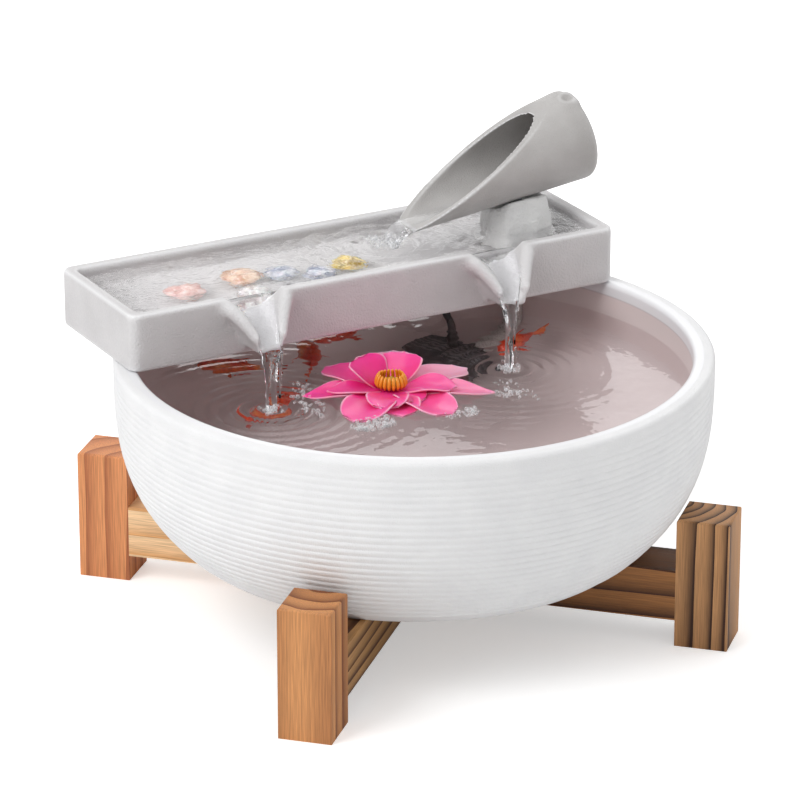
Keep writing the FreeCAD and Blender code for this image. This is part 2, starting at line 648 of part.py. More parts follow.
def build_chamber():
    """The impeller's chamber, with its eye, its front bush's seat and the side outlet."""
    front = -CHAMBER_DEPTH - CHAMBER_WALL
    outer = CHAMBER_R + CHAMBER_WALL
    start = vec(0, front, AXIS_Z)
    outlet_start = vec(0, OUTLET_Y, AXIS_Z + OUTLET_RISE)
    body = rod(outer, start, ALONG_Y, -front)
    body = body.fuse(rod(OUTLET_R, outlet_start, ALONG_X, OUTLET_LENGTH))
    body = body.cut(rod(CHAMBER_R, vec(0, -CHAMBER_DEPTH, AXIS_Z), ALONG_Y, CHAMBER_DEPTH))
    body = body.cut(rod(OUTLET_BORE, outlet_start, ALONG_X, OUTLET_LENGTH))
    body = body.cut(rod(FRONT_BUSH_R, start, ALONG_Y, BUSH_LENGTH))
    for turn in (30, 150, 270):
        eye = rod(EYE_R, vec(EYE_REACH, front - 1, AXIS_Z), ALONG_Y, CHAMBER_WALL + 2)
        eye.rotate(vec(0, 0, AXIS_Z), ALONG_Y, turn)
        body = body.cut(eye)
    seal_r = CHAMBER_R + (CHAMBER_WALL + SEAL_WIDTH) / 2
    seal = ring(seal_r, seal_r - SEAL_WIDTH, vec(0, -SEAL_THICK, AXIS_Z), ALONG_Y, SEAL_THICK)
    save_pump("impeller_chamber", body.cut(seal))
    save_pump("chamber_seal", seal)


def build_strainer():
    """The slotted cover over the chamber, which pulls off forwards, and its flow dial."""
    front_half = block((-PUMP_WIDTH, PUMP_WIDTH), (-PUMP_FRONT - 1, -STRAINER_GAP), (0, 2 * PUMP_HEIGHT))
    outside = pump_outline(0, (BASE_THICK + STRAINER_GAP, PUMP_HEIGHT), PUMP_CROWN)
    inside = pump_outline(STRAINER_WALL, (0, PUMP_HEIGHT - STRAINER_WALL), PUMP_CROWN - STRAINER_WALL)
    cover = outside.common(front_half).cut(inside)
    slot_front = -PUMP_FRONT + 2 * STRAINER_WALL
    top = (PUMP_HEIGHT - 2 * STRAINER_WALL, PUMP_HEIGHT + 1)
    for step in range(-3, 4):
        x = (step * SLOT_PITCH - SLOT_WIDTH / 2, step * SLOT_PITCH + SLOT_WIDTH / 2)
        cover = cover.cut(block(x, (slot_front, -2 * STRAINER_WALL), top))
    reach = OUTLET_R + OUTLET_MARGIN
    slot_back = OUTLET_Y - reach - STRAINER_WALL
    for step in range(SIDE_SLOTS):
        low = 2 * BASE_THICK + step * SLOT_PITCH
        cover = cover.cut(block((-PUMP_WIDTH, PUMP_WIDTH), (slot_front, slot_back), (low, low + SLOT_WIDTH)))
    outlet_z = AXIS_Z + OUTLET_RISE
    notch = block((0, PUMP_WIDTH), (OUTLET_Y, 0), (outlet_z - reach, outlet_z + reach))
    cover = cover.cut(notch).cut(rod(reach, vec(0, OUTLET_Y, outlet_z), ALONG_X, PUMP_WIDTH))
    pivot = vec(0, -PUMP_FRONT - DIAL_GAP - DIAL_THICK, AXIS_Z - 1)
    cover = cover.cut(rod(DIAL_PIN_R + RUNNING, pivot, ALONG_Y, 3 * DIAL_THICK + STRAINER_WALL))
    dial = rod(DIAL_R, pivot, ALONG_Y, DIAL_THICK)
    dial = dial.fuse(rod(DIAL_PIN_R, pivot, ALONG_Y, DIAL_THICK + DIAL_GAP + STRAINER_WALL))
    for x in (-PORT_REACH, PORT_REACH):
        port = rod(PORT_R, vec(x, pivot.y - 1, pivot.z), ALONG_Y, DIAL_THICK + 2)
        window = rod(PORT_R, vec(x, pivot.y, pivot.z), ALONG_Y, 3 * DIAL_THICK + STRAINER_WALL)
        dial = dial.cut(port)
        cover = cover.cut(window)
    save_pump("strainer_cover", cover)
    save_pump("flow_dial", dial.removeSplitter())


def build_relief():
    """The cord's tapered strain relief on top of the motor housing."""
    foot = vec(RELIEF_X, RELIEF_Y, PUMP_HEIGHT)
    save_pump("cord_relief", Part.makeCone(RELIEF_BASE_R, CORD_R + RELIEF_TIP_WALL, RELIEF_LENGTH, foot, UP))


# ---------------------------------------------------------------- hose and cord
def swept_tube(name, points, radius, bore, share):
    """A tube along straight runs joined by tangent arcs; share is the arc's part of a run."""
    edges = []
    start = points[0]
    for before, corner, after in zip(points, points[1:], points[2:]):
        come, leave = (corner - before), (after - corner)
        turn = come.getAngle(leave)
        reach = share * min(come.Length, leave.Length)
        bend = reach / math.tan(turn / 2)
        come.normalize()
        leave.normalize()
        inward = leave - come
        inward.normalize()
        middle = corner + inward * (bend / math.cos(turn / 2) - bend)
        arc_start, arc_end = corner - come * reach, corner + leave * reach
        if (arc_start - start).Length > 0.001:
            edges.append(Part.makeLine(start, arc_start))
        edges.append(Part.Arc(arc_start, middle, arc_end).toShape())
        start = arc_end
        print(f"{name}: bend radius {bend:.1f} mm, turn {math.degrees(turn):.0f} deg, runs "
              f"{(corner - before).Length:.0f} and {(after - corner).Length:.0f} mm")
    edges.append(Part.makeLine(start, points[-1]))
    path = Part.Wire(edges)
    length = path.Length
    heading = points[1] - points[0]
    section = Part.Wire(Part.makeCircle(radius, points[0], heading))
    tube = path.makePipeShell([section], True, False)
    area = math.pi * radius ** 2
    if bore > 0:
        hole = path.makePipeShell([Part.Wire(Part.makeCircle(bore, points[0], heading))], True, False)
        tube = tube.cut(hole)
        area -= math.pi * bore ** 2
    print(f"{name}: {length:.0f} mm long, volume {tube.Volume / (area * length):.4f} of area times length")
    save(name, tube)


def build_hose():
    """The soft hose, which slips over the pump's outlet and the riser's lower end."""
    z = AXIS_Z + OUTLET_RISE
    start = from_pump(PUMP_WIDTH / 2 + HOSE_END_GAP, OUTLET_Y, z)
    corner = from_pump(OUTLET_LENGTH + HOSE_BEND, OUTLET_Y, z)
    top = vec(RISER.x, RISER.y, HOSE_TOP)
    shorter = min((corner - start).Length, HOSE_TOP - corner.z)
    swept_tube("hose", [start, corner, top], HOSE_R, OUTLET_R + HOSE_CLEAR, HOSE_BEND / shorter)


def build_cord():
    exit_point = from_pump(RELIEF_X, RELIEF_Y, PUMP_HEIGHT + RELIEF_LENGTH)
    rise = exit_point + UP * CORD_RISE
    route = [exit_point, rise] + [vec(*point) for point in CORD_POINTS]
    swept_tube("power_cord", route, CORD_R, 0, ARC_SHARE)
    last = route[-1]
    outer_turn = COIL_MIDDLE_R + CORD_R * (COIL_LAYERS - 1)
    centre = vec(last.x, last.y - outer_turn, 0)
    build = COIL_LAYERS * CORD_R
    coil = ring(COIL_MIDDLE_R + build, COIL_MIDDLE_R - build, centre, UP, COIL_LEVELS * 2 * CORD_R)
    save("cord_coil", coil)
    lead_start = vec(last.x, last.y, (2 * COIL_LEVELS - 1) * CORD_R)
    lead = [lead_start] + [vec(*point) for point in PLUG_LEAD]
    swept_tube("plug_lead", lead, CORD_R, 0, ARC_SHARE)
    build_plug(lead[-1], lead[-1] - lead[-2])


def build_plug(entry, heading):
    """A two-pin plug that lies on its side, in line with the end of its lead."""
    turn = math.degrees(math.atan2(heading.y, heading.x))
    half_w, middle = PLUG_WIDTH / 2, PLUG_HEIGHT / 2
    pin_start = PLUG_NECK + PLUG_LENGTH
    body = rounded_block((PLUG_NECK, pin_start), (-half_w, half_w), (0, PLUG_HEIGHT), PLUG_CORNER)
    neck = Part.makeCone(CORD_R + RELIEF_TIP_WALL, PLUG_CORNER + 2, PLUG_NECK, vec(0, 0, middle), ALONG_X)
    body = body.fuse(neck)
    pins = []
    for side in (-1, 1):
        y = side * PIN_SPACING / 2
        pins.append(block((pin_start, pin_start + PIN_LENGTH), (y - PIN_THICK / 2, y + PIN_THICK / 2),
                          (middle - PIN_WIDTH / 2, middle + PIN_WIDTH / 2)))
    for name, shape in (("plug_body", body), ("plug_pins", Part.makeCompound(pins))):
        shape.rotate(vec(0, 0, 0), UP, turn)
        shape.translate(vec(entry.x, entry.y, 0))
        save(name, shape)


# ---------------------------------------------------------------- lotus and goldfish
def petal_ring(count, reach, root, tilt, z, first):
    """A hub disc with its ring of pointed petals, whose tips rise by tilt from their roots."""
    whole = rod(LOTUS_HUB_R, vec(0, 0, z), UP, PETAL_THICK)
    length = (reach - root) / math.cos(math.radians(tilt))
    for number in range(count):
        near, far = vec(0, 0, 0), vec(length, 0, 0)
        side_a = Part.Arc(near, vec(length * PETAL_BROADEST, PETAL_WIDTH / 2, 0), far).toShape()
        side_b = Part.Arc(far, vec(length * PETAL_BROADEST, -PETAL_WIDTH / 2, 0), near).toShape()
        petal = Part.Face(Part.Wire([side_a, side_b])).extrude(vec(0, 0, PETAL_THICK))
        petal.rotate(vec(0, 0, 0), ALONG_Y, -tilt)
        petal.translate(vec(root, 0, z))
        petal.rotate(vec(0, 0, 0), UP, first + number * 360 / count)
        whole = whole.fuse(petal)
    return whole


def place_lotus(shape):
    shape.translate(vec(LOTUS_X, LOTUS_Y, WATER_Z))
    return shape


def build_lotus():
    save("lotus_float", place_lotus(rod(LOTUS_PAD_R, vec(0, 0, -LOTUS_PAD_THICK), UP, LOTUS_PAD_THICK)))
    save("lotus_outer_petals", place_lotus(petal_ring(OUTER_PETALS, LOTUS_R, STAMEN_R, OUTER_TILT, 0, 10)))
    inner_z = 2 * PETAL_THICK + LOTUS_TIER_GAP
    spacer = rod(STAMEN_R - 0.5, vec(0, 0, PETAL_THICK), UP, inner_z - PETAL_THICK)
    root = STAMEN_R + LOTUS_TIER_GAP
    inner = petal_ring(INNER_PETALS, LOTUS_INNER_R, root, INNER_TILT, inner_z, 30).fuse(spacer)
    save("lotus_inner_petals", place_lotus(inner))
    crown_z = inner_z + PETAL_THICK
    crown = Part.makeCone(STAMEN_R, STAMEN_R - 2, STAMEN_HEIGHT, vec(0, 0, crown_z), UP)
    hollow = Part.makeCone(SEED_R + 0.3, SEED_R + 0.1, STAMEN_HEIGHT + 1, vec(0, 0, crown_z), UP)
    save("lotus_stamens", place_lotus(crown.cut(hollow)))
    head = rod(SEED_R, vec(0, 0, crown_z), UP, STAMEN_HEIGHT * 0.7)
    save("lotus_seed_head", place_lotus(head))


def goldfish(x, y, depth, heading, length):
    """A spindle body with a flat upright tail, nose towards its heading."""
    radius = FISH_FATNESS * length
    nose, tail = vec(length * 0.4, 0, 0), vec(-length * 0.35, 0, 0)
    side = Part.Arc(nose, vec(length * 0.08, radius, 0), tail).toShape()
    body = Part.Face(Part.Wire([side, Part.makeLine(tail, nose)])).revolve(vec(0, 0, 0), ALONG_X, 360)
    side_y = -FIN_THICK / 2
    fin = polygon([vec(-length * 0.25, side_y, 0), vec(-length * 0.6, side_y, radius),
                   vec(-length * 0.5, side_y, 0), vec(-length * 0.6, side_y, -radius)])
    fish = body.fuse(Part.Face(fin).extrude(vec(0, FIN_THICK, 0)))
    fish.rotate(vec(0, 0, 0), UP, heading)
    fish.translate(vec(x, y, WATER_Z - depth))
    return fish


def build_goldfish():
    save("goldfish", Part.makeCompound([goldfish(*one) for one in GOLDFISH]))


def main():
    os.makedirs("parts", exist_ok=True)
    build_stand()
    build_bowl()
    build_tray()
    build_riser()
    build_spout()
    build_rock()
    build_stones()
    build_motor()
    build_base()
    build_rotor()
    build_chamber()
    build_strainer()
    build_relief()
    build_hose()
    build_cord()
    build_lotus()
    build_goldfish()


main()
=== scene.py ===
"""Looks of a tabletop water fountain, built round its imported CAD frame.

A ribbed ceramic bowl on a crossed timber stand, a pouring tray with a slanted spout tube, a
floating lotus, goldfish, glass stones, and a small submersible pump with its cord.
"""

import logging
import math
from dataclasses import astuple, dataclass, field, replace
from enum import Enum
from typing import Callable, Optional, Sequence

import bmesh
import bpy
from mathutils import Matrix, Vector, noise


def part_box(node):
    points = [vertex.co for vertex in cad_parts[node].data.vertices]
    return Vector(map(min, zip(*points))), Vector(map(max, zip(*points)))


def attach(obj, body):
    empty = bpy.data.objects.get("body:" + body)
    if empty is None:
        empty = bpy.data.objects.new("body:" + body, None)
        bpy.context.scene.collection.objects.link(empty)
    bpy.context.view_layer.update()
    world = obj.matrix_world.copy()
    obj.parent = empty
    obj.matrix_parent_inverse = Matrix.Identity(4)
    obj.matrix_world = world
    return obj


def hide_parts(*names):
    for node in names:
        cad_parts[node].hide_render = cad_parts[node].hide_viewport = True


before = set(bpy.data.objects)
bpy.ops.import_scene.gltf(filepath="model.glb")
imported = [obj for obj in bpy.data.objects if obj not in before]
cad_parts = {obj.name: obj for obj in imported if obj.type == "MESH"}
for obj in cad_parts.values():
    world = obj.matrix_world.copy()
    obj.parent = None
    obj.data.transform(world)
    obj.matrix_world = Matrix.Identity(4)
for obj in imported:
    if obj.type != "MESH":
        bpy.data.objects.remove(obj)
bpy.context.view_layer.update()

LOG = logging.getLogger("fountain")
BMesh = bmesh.types.BMesh
Piece = bpy.types.Object
Surface = bpy.types.Material
Socket = bpy.types.NodeSocket
Colour = tuple[float, float, float]
Point = tuple[float, float, float]

MM = 0.001
WELD = 1e-6              # points nearer than this are one, in metres
WATER_Z = 153.0          # the bowl's water level, in millimetres
TRAY_WATER_Z = 209.0     # and the tray's


# ------------------------------------------------------------------ mesh helpers
def mm(x: float, y: float, z: float) -> Vector:
    """A point given in millimetres, in metres."""
    return Vector((x, y, z)) * MM


def wobble(x: float, y: float, z: float, size: float) -> float:
    """Smooth noise from -1 to 1.

    Args:
        x, y, z: the place, in millimetres.
        size: the width of one bump, in millimetres.

    Returns:
        The noise at that place.
    """
    return noise.noise(Vector((x, y, z)) / size)


def linked(name: str, data: bpy.types.ID) -> Piece:
    """A new object that shows some data, linked to the scene."""
    made = bpy.data.objects.new(name, data)
    bpy.context.scene.collection.objects.link(made)
    return made


def as_piece(bm: BMesh, name: str, smooth: bool = True) -> Piece:
    """Makes a finished mesh an object at the origin.

    Args:
        bm: the mesh, in metres and in place; it is freed.
        name: the piece's name.
        smooth: whether its faces are turned outwards and shaded smooth.

    Returns:
        The new object, linked to the scene.
    """
    if smooth:
        bmesh.ops.recalc_face_normals(bm, faces=bm.faces)
    mesh = bpy.data.meshes.new(name)
    bm.to_mesh(mesh)
    bm.free()
    for polygon in mesh.polygons:
        polygon.use_smooth = smooth
    return linked(name, mesh)


def freeze(piece: Piece) -> Piece:
    """Applies a piece's modifiers and keeps the result as its mesh."""
    graph = bpy.context.evaluated_depsgraph_get()
    mesh = bpy.data.meshes.new_from_object(piece.evaluated_get(graph))
    piece.modifiers.clear()
    piece.data = mesh
    for polygon in mesh.polygons:
        polygon.use_smooth = True
    return piece


def node_copy(node: str) -> BMesh:
    """A CAD node's shape as a mesh whose loose triangles are joined up."""
    bm = bmesh.new()
    bm.from_mesh(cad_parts[node].data)
    bmesh.ops.remove_doubles(bm, verts=bm.verts, dist=WELD)
    return bm


def softened(bm: BMesh, name: str, voxel: float, rounds: int) -> Piece:
    """Joins a mesh's overlapping shells into one skin with worn, rounded edges.

    Args:
        bm: closed shells, in metres.
        name: the piece's name.
        voxel: the new skin's cell, in millimetres.
        rounds: smoothing passes.

    Returns:
        The piece, with nothing left to apply.
    """
    piece = as_piece(bm, name)
    remesh = piece.modifiers.new("skin", "REMESH")
    remesh.mode = "VOXEL"
    remesh.voxel_size = voxel * MM
    smooth = piece.modifiers.new("wear", "SMOOTH")
    smooth.factor = 0.5
    smooth.iterations = rounds
    return freeze(piece)


def push_out(bm: BMesh, amount: Callable[[Point], float]) -> None:
    """Moves a mesh's skin along its normals.

    Args:
        bm: the mesh.
        amount: how far a place moves outwards; all in millimetres.
    """
    bm.normal_update()
    for vert in bm.verts:
        vert.co += vert.normal * amount(tuple(c / MM for c in vert.co)) * MM


def reshaped(piece: Piece, amount: Callable[[Point], float]) -> Piece:
    """A finished piece with its skin moved along its normals, as in push_out."""
    bm = bmesh.new()
    bm.from_mesh(piece.data)
    push_out(bm, amount)
    bm.to_mesh(piece.data)
    bm.free()
    return piece


def lumps(height: float, width: float, sink: float) -> Callable[[Point], float]:
    """How far a rough stone's skin moves: broad lumps, finer ones over them, and a sink."""
    return lambda at: height * wobble(*at, width) + 0.5 * wobble(*at, 4.0) - sink


def lathe(outline: Sequence[tuple[float, float]], steps: int,
          centre: Vector = Vector()) -> BMesh:
    """Spins an outline round an upright axis.

    Args:
        outline: (radius, height) pairs in millimetres.
        steps: faces round the axis.
        centre: the axis's place, in metres.

    Returns:
        The closed mesh.
    """
    bm = bmesh.new()
    points = [bm.verts.new(mm(radius, 0, height)) for radius, height in outline]
    edges = [bm.edges.new(pair) for pair in zip(points, points[1:])]
    bmesh.ops.spin(bm, geom=points + edges, cent=(0, 0, 0), axis=(0, 0, 1), angle=math.tau,
                   steps=steps, use_merge=True)
    bmesh.ops.remove_doubles(bm, verts=bm.verts, dist=WELD)
    bmesh.ops.translate(bm, verts=bm.verts, vec=centre)
    return bm


def add_ball(bm: BMesh, centre: Vector, size: Vector, detail: int = 3) -> None:
    """Adds a rounded lump to a mesh.

    Args:
        bm: the mesh to add to.
        centre: its middle, in metres.
        size: its three radii, in metres.
        detail: subdivisions of its sphere.
    """
    spot = Matrix.Translation(centre) @ Matrix.Diagonal((*size, 1))
    bmesh.ops.create_icosphere(bm, subdivisions=detail, radius=1, matrix=spot)


def skin_over(bm: BMesh, places: Sequence[Matrix], sides: int) -> None:
    """Adds a closed tube over a row of rings.

    Args:
        bm: the mesh to add to.
        places: each ring's place, heading and size, on a unit circle.
        sides: faces round the tube.
    """
    ring: list = []
    for matrix in places:
        new = bmesh.ops.create_circle(bm, segments=sides, radius=1, matrix=matrix)["verts"]
        edges = list({edge for vert in new for edge in vert.link_edges})
        if ring:
            bmesh.ops.bridge_loops(bm, edges=ring + edges)
        else:
            bmesh.ops.contextual_create(bm, geom=new)
        ring = edges
    bmesh.ops.contextual_create(bm, geom=new)


def tube(bm: BMesh, stations: Sequence[tuple[Vector, float]], sides: int) -> None:
    """Adds a closed round tube through a row of stations.

    Args:
        bm: the mesh to add to.
        stations: (centre, radius) pairs in metres, at least three.
        sides: faces round the tube.
    """
    places = []
    for index, (centre, radius) in enumerate(stations):
        before = stations[max(index - 1, 0)][0]
        after = stations[min(index + 1, len(stations) - 1)][0]
        heading = (after - before).to_track_quat("Z", "Y").to_matrix().to_4x4()
        places.append(Matrix.Translation(centre) @ heading @ Matrix.Diagonal((radius, radius, 1, 1)))
    skin_over(bm, places, sides)


# ------------------------------------------------------------------ shader helpers
class Nodes:
    """Short calls for building a node tree."""

    def __init__(self, tree: bpy.types.NodeTree) -> None:
        """Keeps the tree that the calls add to."""
        self.tree = tree

    def add(self, kind: str, inputs: Optional[dict] = None, **settings) -> bpy.types.Node:
        """Adds a node.

        Args:
            kind: the node's type after "ShaderNode".
            inputs: a value or another node's output for each named or numbered input.
            settings: the node's own properties.

        Returns:
            The node.
        """
        node = self.tree.nodes.new("ShaderNode" + kind)
        for key, value in settings.items():
            setattr(node, key, value)
        for key, value in (inputs or {}).items():
            if isinstance(value, Socket):
                self.tree.links.new(value, node.inputs[key])
            else:
                node.inputs[key].default_value = value
        return node

    def attribute(self, name: str) -> Socket:
        """A number kept on the mesh's points."""
        return self.add("Attribute", attribute_name=name).outputs["Fac"]

    def math(self, operation: str, *values) -> Socket:
        """The output of a Math node on one to three values or sockets."""
        return self.add("Math", dict(enumerate(values)), operation=operation).outputs[0]

    def noise(self, vector: Socket, size: float, detail: float = 3, rough: float = 0.5) -> Socket:
        """Noise whose bumps are size millimetres wide."""
        return self.add("TexNoise", {"Vector": vector, "Scale": 1000 / size, "Detail": detail,
                                     "Roughness": rough}).outputs["Fac"]

    def steps(self, value: Socket, stops: Sequence[tuple[float, Colour]]) -> Socket:
        """A colour for a value, by a ramp of (place, colour) stops."""
        ramp = self.add("ValToRGB", {"Fac": value})
        elements = ramp.color_ramp.elements
        while len(elements) < len(stops):
            elements.new(1)
        for element, (place, colour) in zip(elements, stops):
            element.position = place
            element.color = (*colour, 1)
        return ramp.outputs["Color"]

    def span(self, value: Socket, low: float, high: float, out_low: float = 0,
             out_high: float = 1) -> Socket:
        """A value's range mapped to another, clamped."""
        return self.add("MapRange", {"Value": value, "From Min": low, "From Max": high,
                                     "To Min": out_low, "To Max": out_high}).outputs["Result"]

    def mix(self, amount, first, second, blend: str = "MIX") -> Socket:
        """A mix of two colours."""
        node = self.add("Mix", {"Factor": amount}, data_type="RGBA", blend_type=blend)
        for place, value in ((6, first), (7, second)):
            if isinstance(value, Socket):
                self.tree.links.new(value, node.inputs[place])
            else:
                node.inputs[place].default_value = (*value[:3], 1)
        return node.outputs[2]

    def shade(self, colour: Socket, amount: Socket) -> Socket:
        """A colour multiplied by a number."""
        grey = self.add("CombineColor", {0: amount, 1: amount, 2: amount}).outputs[0]
        return self.mix(1.0, colour, grey, "MULTIPLY")


def shared_group(name: str, inputs: dict[str, float], outputs: Sequence[str],
                 build: Callable[[Nodes, dict, dict], None]) -> bpy.types.NodeTree:
    """A node group, built once.

    Args:
        name: the group's name.
        inputs: each number's default, by its name; a vector comes before them.
        outputs: the names of the numbers that come out.
        build: fills the group, given its nodes, its input sockets and its output sockets.

    Returns:
        The group.
    """
    if name in bpy.data.node_groups:
        return bpy.data.node_groups[name]
    group = bpy.data.node_groups.new(name, "ShaderNodeTree")
    group.interface.new_socket("Vector", in_out="INPUT", socket_type="NodeSocketVector")
    for label, default in inputs.items():
        socket = group.interface.new_socket(label, in_out="INPUT", socket_type="NodeSocketFloat")
        socket.default_value = default
    for label in outputs:
        group.interface.new_socket(label, in_out="OUTPUT", socket_type="NodeSocketFloat")
    start, end = group.nodes.new("NodeGroupInput"), group.nodes.new("NodeGroupOutput")
    results: dict = {}
    build(Nodes(group), {s.name: s for s in start.outputs}, results)
    for label, socket in results.items():
        group.links.new(socket, end.inputs[label])
    return group


def skin_group() -> bpy.types.NodeTree:
    """Grain and slow patches of a cast, moulded or glazed skin."""
    def build(nodes: Nodes, given: dict, results: dict) -> None:
        """Fills the group."""
        scale = nodes.math("DIVIDE", 1000.0, given["Grain"])
        fine = nodes.add("TexNoise", {"Vector": given["Vector"], "Scale": scale, "Detail": 2.0})
        pits = nodes.add("TexVoronoi", {"Vector": given["Vector"], "Scale": scale})
        wide = nodes.math("MULTIPLY", scale, 0.04)
        slow = nodes.add("TexNoise", {"Vector": given["Vector"], "Scale": wide})
        half = nodes.math("MULTIPLY", pits.outputs["Distance"], 0.5)
        results["Height"] = nodes.math("ADD", fine.outputs["Fac"], half)
        results["Patches"] = nodes.span(slow.outputs["Fac"], 0.3, 0.7)
        results["Specks"] = nodes.span(fine.outputs["Fac"], 0.35, 0.65)
    return shared_group("Skin", {"Grain": 1.0}, ("Height", "Patches", "Specks"), build)


def timber_group() -> bpy.types.NodeTree:
    """Growth rings, fibres and scorching of brushed softwood whose length runs along X."""
    def build(nodes: Nodes, given: dict, results: dict) -> None:
        """Fills the group."""
        place = given["Vector"]
        stretched = nodes.add("Mapping", {"Vector": place, "Scale": (0.12, 1.0, 1.0)}).outputs[0]
        bend = nodes.add("TexNoise", {"Vector": stretched, "Scale": 22.0, "Detail": 2.0}).outputs["Color"]
        shift = nodes.add("VectorMath", {0: bend, 1: (0.5, 0.5, 0.5)}, operation="SUBTRACT")
        shift = nodes.add("VectorMath", {0: shift.outputs[0], "Scale": given["Wander"]}, operation="SCALE")
        moved = nodes.add("VectorMath", {0: place, 1: shift.outputs[0]}, operation="ADD").outputs[0]
        rings = nodes.add("TexWave", {"Vector": moved, "Scale": given["Rings"], "Distortion": 0.0},
                          wave_type="RINGS", rings_direction="X", wave_profile="SAW").outputs["Fac"]
        fibres = nodes.add("Mapping", {"Vector": place, "Scale": (0.03, 1.0, 1.0)}).outputs[0]
        fibre = nodes.add("TexNoise", {"Vector": fibres, "Scale": 1400.0, "Detail": 2.0}).outputs["Fac"]
        patches = nodes.add("TexNoise", {"Vector": stretched, "Scale": 30.0}).outputs["Fac"]
        late = nodes.math("POWER", rings, 2.2)
        results["Late wood"] = late
        results["Fibre"] = fibre
        results["Scorch"] = nodes.span(patches, 0.3, 0.7)
        results["Height"] = nodes.math("ADD", late, nodes.math("MULTIPLY", fibre, 0.6))
    return shared_group("Timber", {"Rings": 60.0, "Wander": 0.01},
                        ("Late wood", "Fibre", "Scorch", "Height"), build)


class Material:
    """A named material with its Principled shader and Object coordinates."""

    def __init__(self, name: str, **uniform) -> None:
        """Makes the material; uniform values go on the shader's own sockets, with _ for a space."""
        self.material = bpy.data.materials.new(name)
        self.material.use_nodes = True
        self.nodes = Nodes(self.material.node_tree)
        self.shader = self.material.node_tree.nodes["Principled BSDF"]
        self.output = self.material.node_tree.nodes["Material Output"]
        for key, value in uniform.items():
            self.shader.inputs[key.replace("_", " ")].default_value = value
        self.place = self.nodes.add("TexCoord").outputs["Object"]

    def feed(self, name: str, socket: Socket) -> None:
        """Links a socket to one of the shader's inputs."""
        self.material.node_tree.links.new(socket, self.shader.inputs[name])

    def bump(self, height: Socket, depth: float, strength: float = 1.0) -> None:
        """Raises the surface by a height times depth millimetres."""
        bump = self.nodes.add("Bump", {"Height": height, "Distance": depth * MM, "Strength": strength})
        self.feed("Normal", bump.outputs["Normal"])


@dataclass(frozen=True)
class SkinFinish:
    """A cast, moulded or glazed finish: two close colours, a grain and a sheen."""

    name: str
    colour: Colour
    second: Colour
    roughness: float = 0.5
    rough_spread: float = 0.08
    grain: float = 1.0
    depth: float = 0.1
    metallic: float = 0.0
    coat: float = 0.0
    transmission: float = 0.0
    subsurface: float = 0.0
    # edge: a paler colour put on sharp edges; it is a painted highlight, standing for light catching them.
    edge: Optional[Colour] = None

    def build(self) -> Surface:
        """The finish as a material."""
        made = Material(self.name, Metallic=self.metallic, Coat_Weight=self.coat, Coat_Roughness=0.12,
                        Transmission_Weight=self.transmission, Subsurface_Weight=self.subsurface,
                        Subsurface_Scale=0.004)
        skin = made.nodes.add("Group", {"Vector": made.place, "Grain": self.grain}, node_tree=skin_group())
        colour = made.nodes.mix(skin.outputs["Patches"], self.colour, self.second)
        # Painted highlight: where an edge colour is given, sharp edges, found by their pointiness, are
        # painted in it.
        if self.edge:
            painted_edge_highlight = made.nodes.span(made.nodes.add("NewGeometry").outputs["Pointiness"], 0.51, 0.56)
            colour = made.nodes.mix(painted_edge_highlight, colour, self.edge)
        made.feed("Base Color", colour)
        low, high = self.roughness - self.rough_spread, self.roughness + self.rough_spread
        made.feed("Roughness", made.nodes.span(skin.outputs["Specks"], 0, 1, max(low, 0), high))
        made.bump(skin.outputs["Height"], self.depth)
        return made.material


@dataclass(frozen=True)
class TimberFinish:
    """Scorched, brushed and oiled softwood, with its growth rings round an axis along its length."""

    name: str
    pale: Colour
    dark: Colour
    pith: Point
    heading: Point
    rings: float = 62.0
    wander: float = 0.012
    scorch: float = 0.5
    far_pale: Optional[Colour] = None
    far_dark: Optional[Colour] = None

    def build(self) -> Surface:
        """The finish as a material."""
        made = Material(self.name, Specular_IOR_Level=0.35)
        nodes = made.nodes
        moved = nodes.add("Mapping", {"Vector": made.place, "Location": mm(*self.pith),
                                      "Rotation": [math.radians(a) for a in self.heading]},
                          vector_type="TEXTURE").outputs[0]
        grain = nodes.add("Group", {"Vector": moved, "Rings": self.rings, "Wander": self.wander},
                          node_tree=timber_group())
        dark = nodes.math("MULTIPLY", grain.outputs["Late wood"], 0.95)
        burnt = nodes.math("MULTIPLY", grain.outputs["Scorch"], self.scorch)
        amount = nodes.math("MINIMUM", nodes.math("ADD", dark, nodes.math("MULTIPLY", burnt, 0.5)), 1.0)
        colour = nodes.mix(amount, self.pale, self.dark)
        if self.far_pale and self.far_dark:
            along = nodes.span(nodes.add("SeparateXYZ", {0: moved}).outputs[0], -0.05, 0.09)
            colour = nodes.mix(along, colour, nodes.mix(amount, self.far_pale, self.far_dark))
        streak = nodes.span(grain.outputs["Fibre"], 0.3, 0.7, 0.72, 1.12)
        made.feed("Base Color", nodes.shade(colour, streak))
        made.feed("Roughness", nodes.span(grain.outputs["Fibre"], 0.2, 0.8, 0.42, 0.68))
        made.bump(grain.outputs["Height"], 0.35)
        return made.material


@dataclass(frozen=True)
class WaterFinish:
    """Clear water that lets light through to what lies in it."""

    name: str
    colour: Colour
    roughness: float = 0.02
    ripple: float = 6.0
    depth: float = 0.15
    clear_shadow: float = 0.9

    def build(self) -> Surface:
        """The finish as a material."""
        made = Material(self.name, Base_Color=(*self.colour, 1), Roughness=self.roughness, IOR=1.333,
                        Transmission_Weight=1.0)
        height = made.nodes.noise(made.place, self.ripple, 2)
        made.bump(height, self.depth)
        through = made.nodes.add("BsdfTransparent", {"Color": (*[0.35 + 0.65 * c for c in self.colour], 1)})
        ray = made.nodes.add("LightPath").outputs["Is Shadow Ray"]
        amount = made.nodes.math("MULTIPLY", ray, self.clear_shadow)
        both = made.nodes.add("MixShader", {0: amount, 1: made.shader.outputs[0], 2: through.outputs[0]})
        made.material.node_tree.links.new(both.outputs[0], made.output.inputs["Surface"])
        return made.material


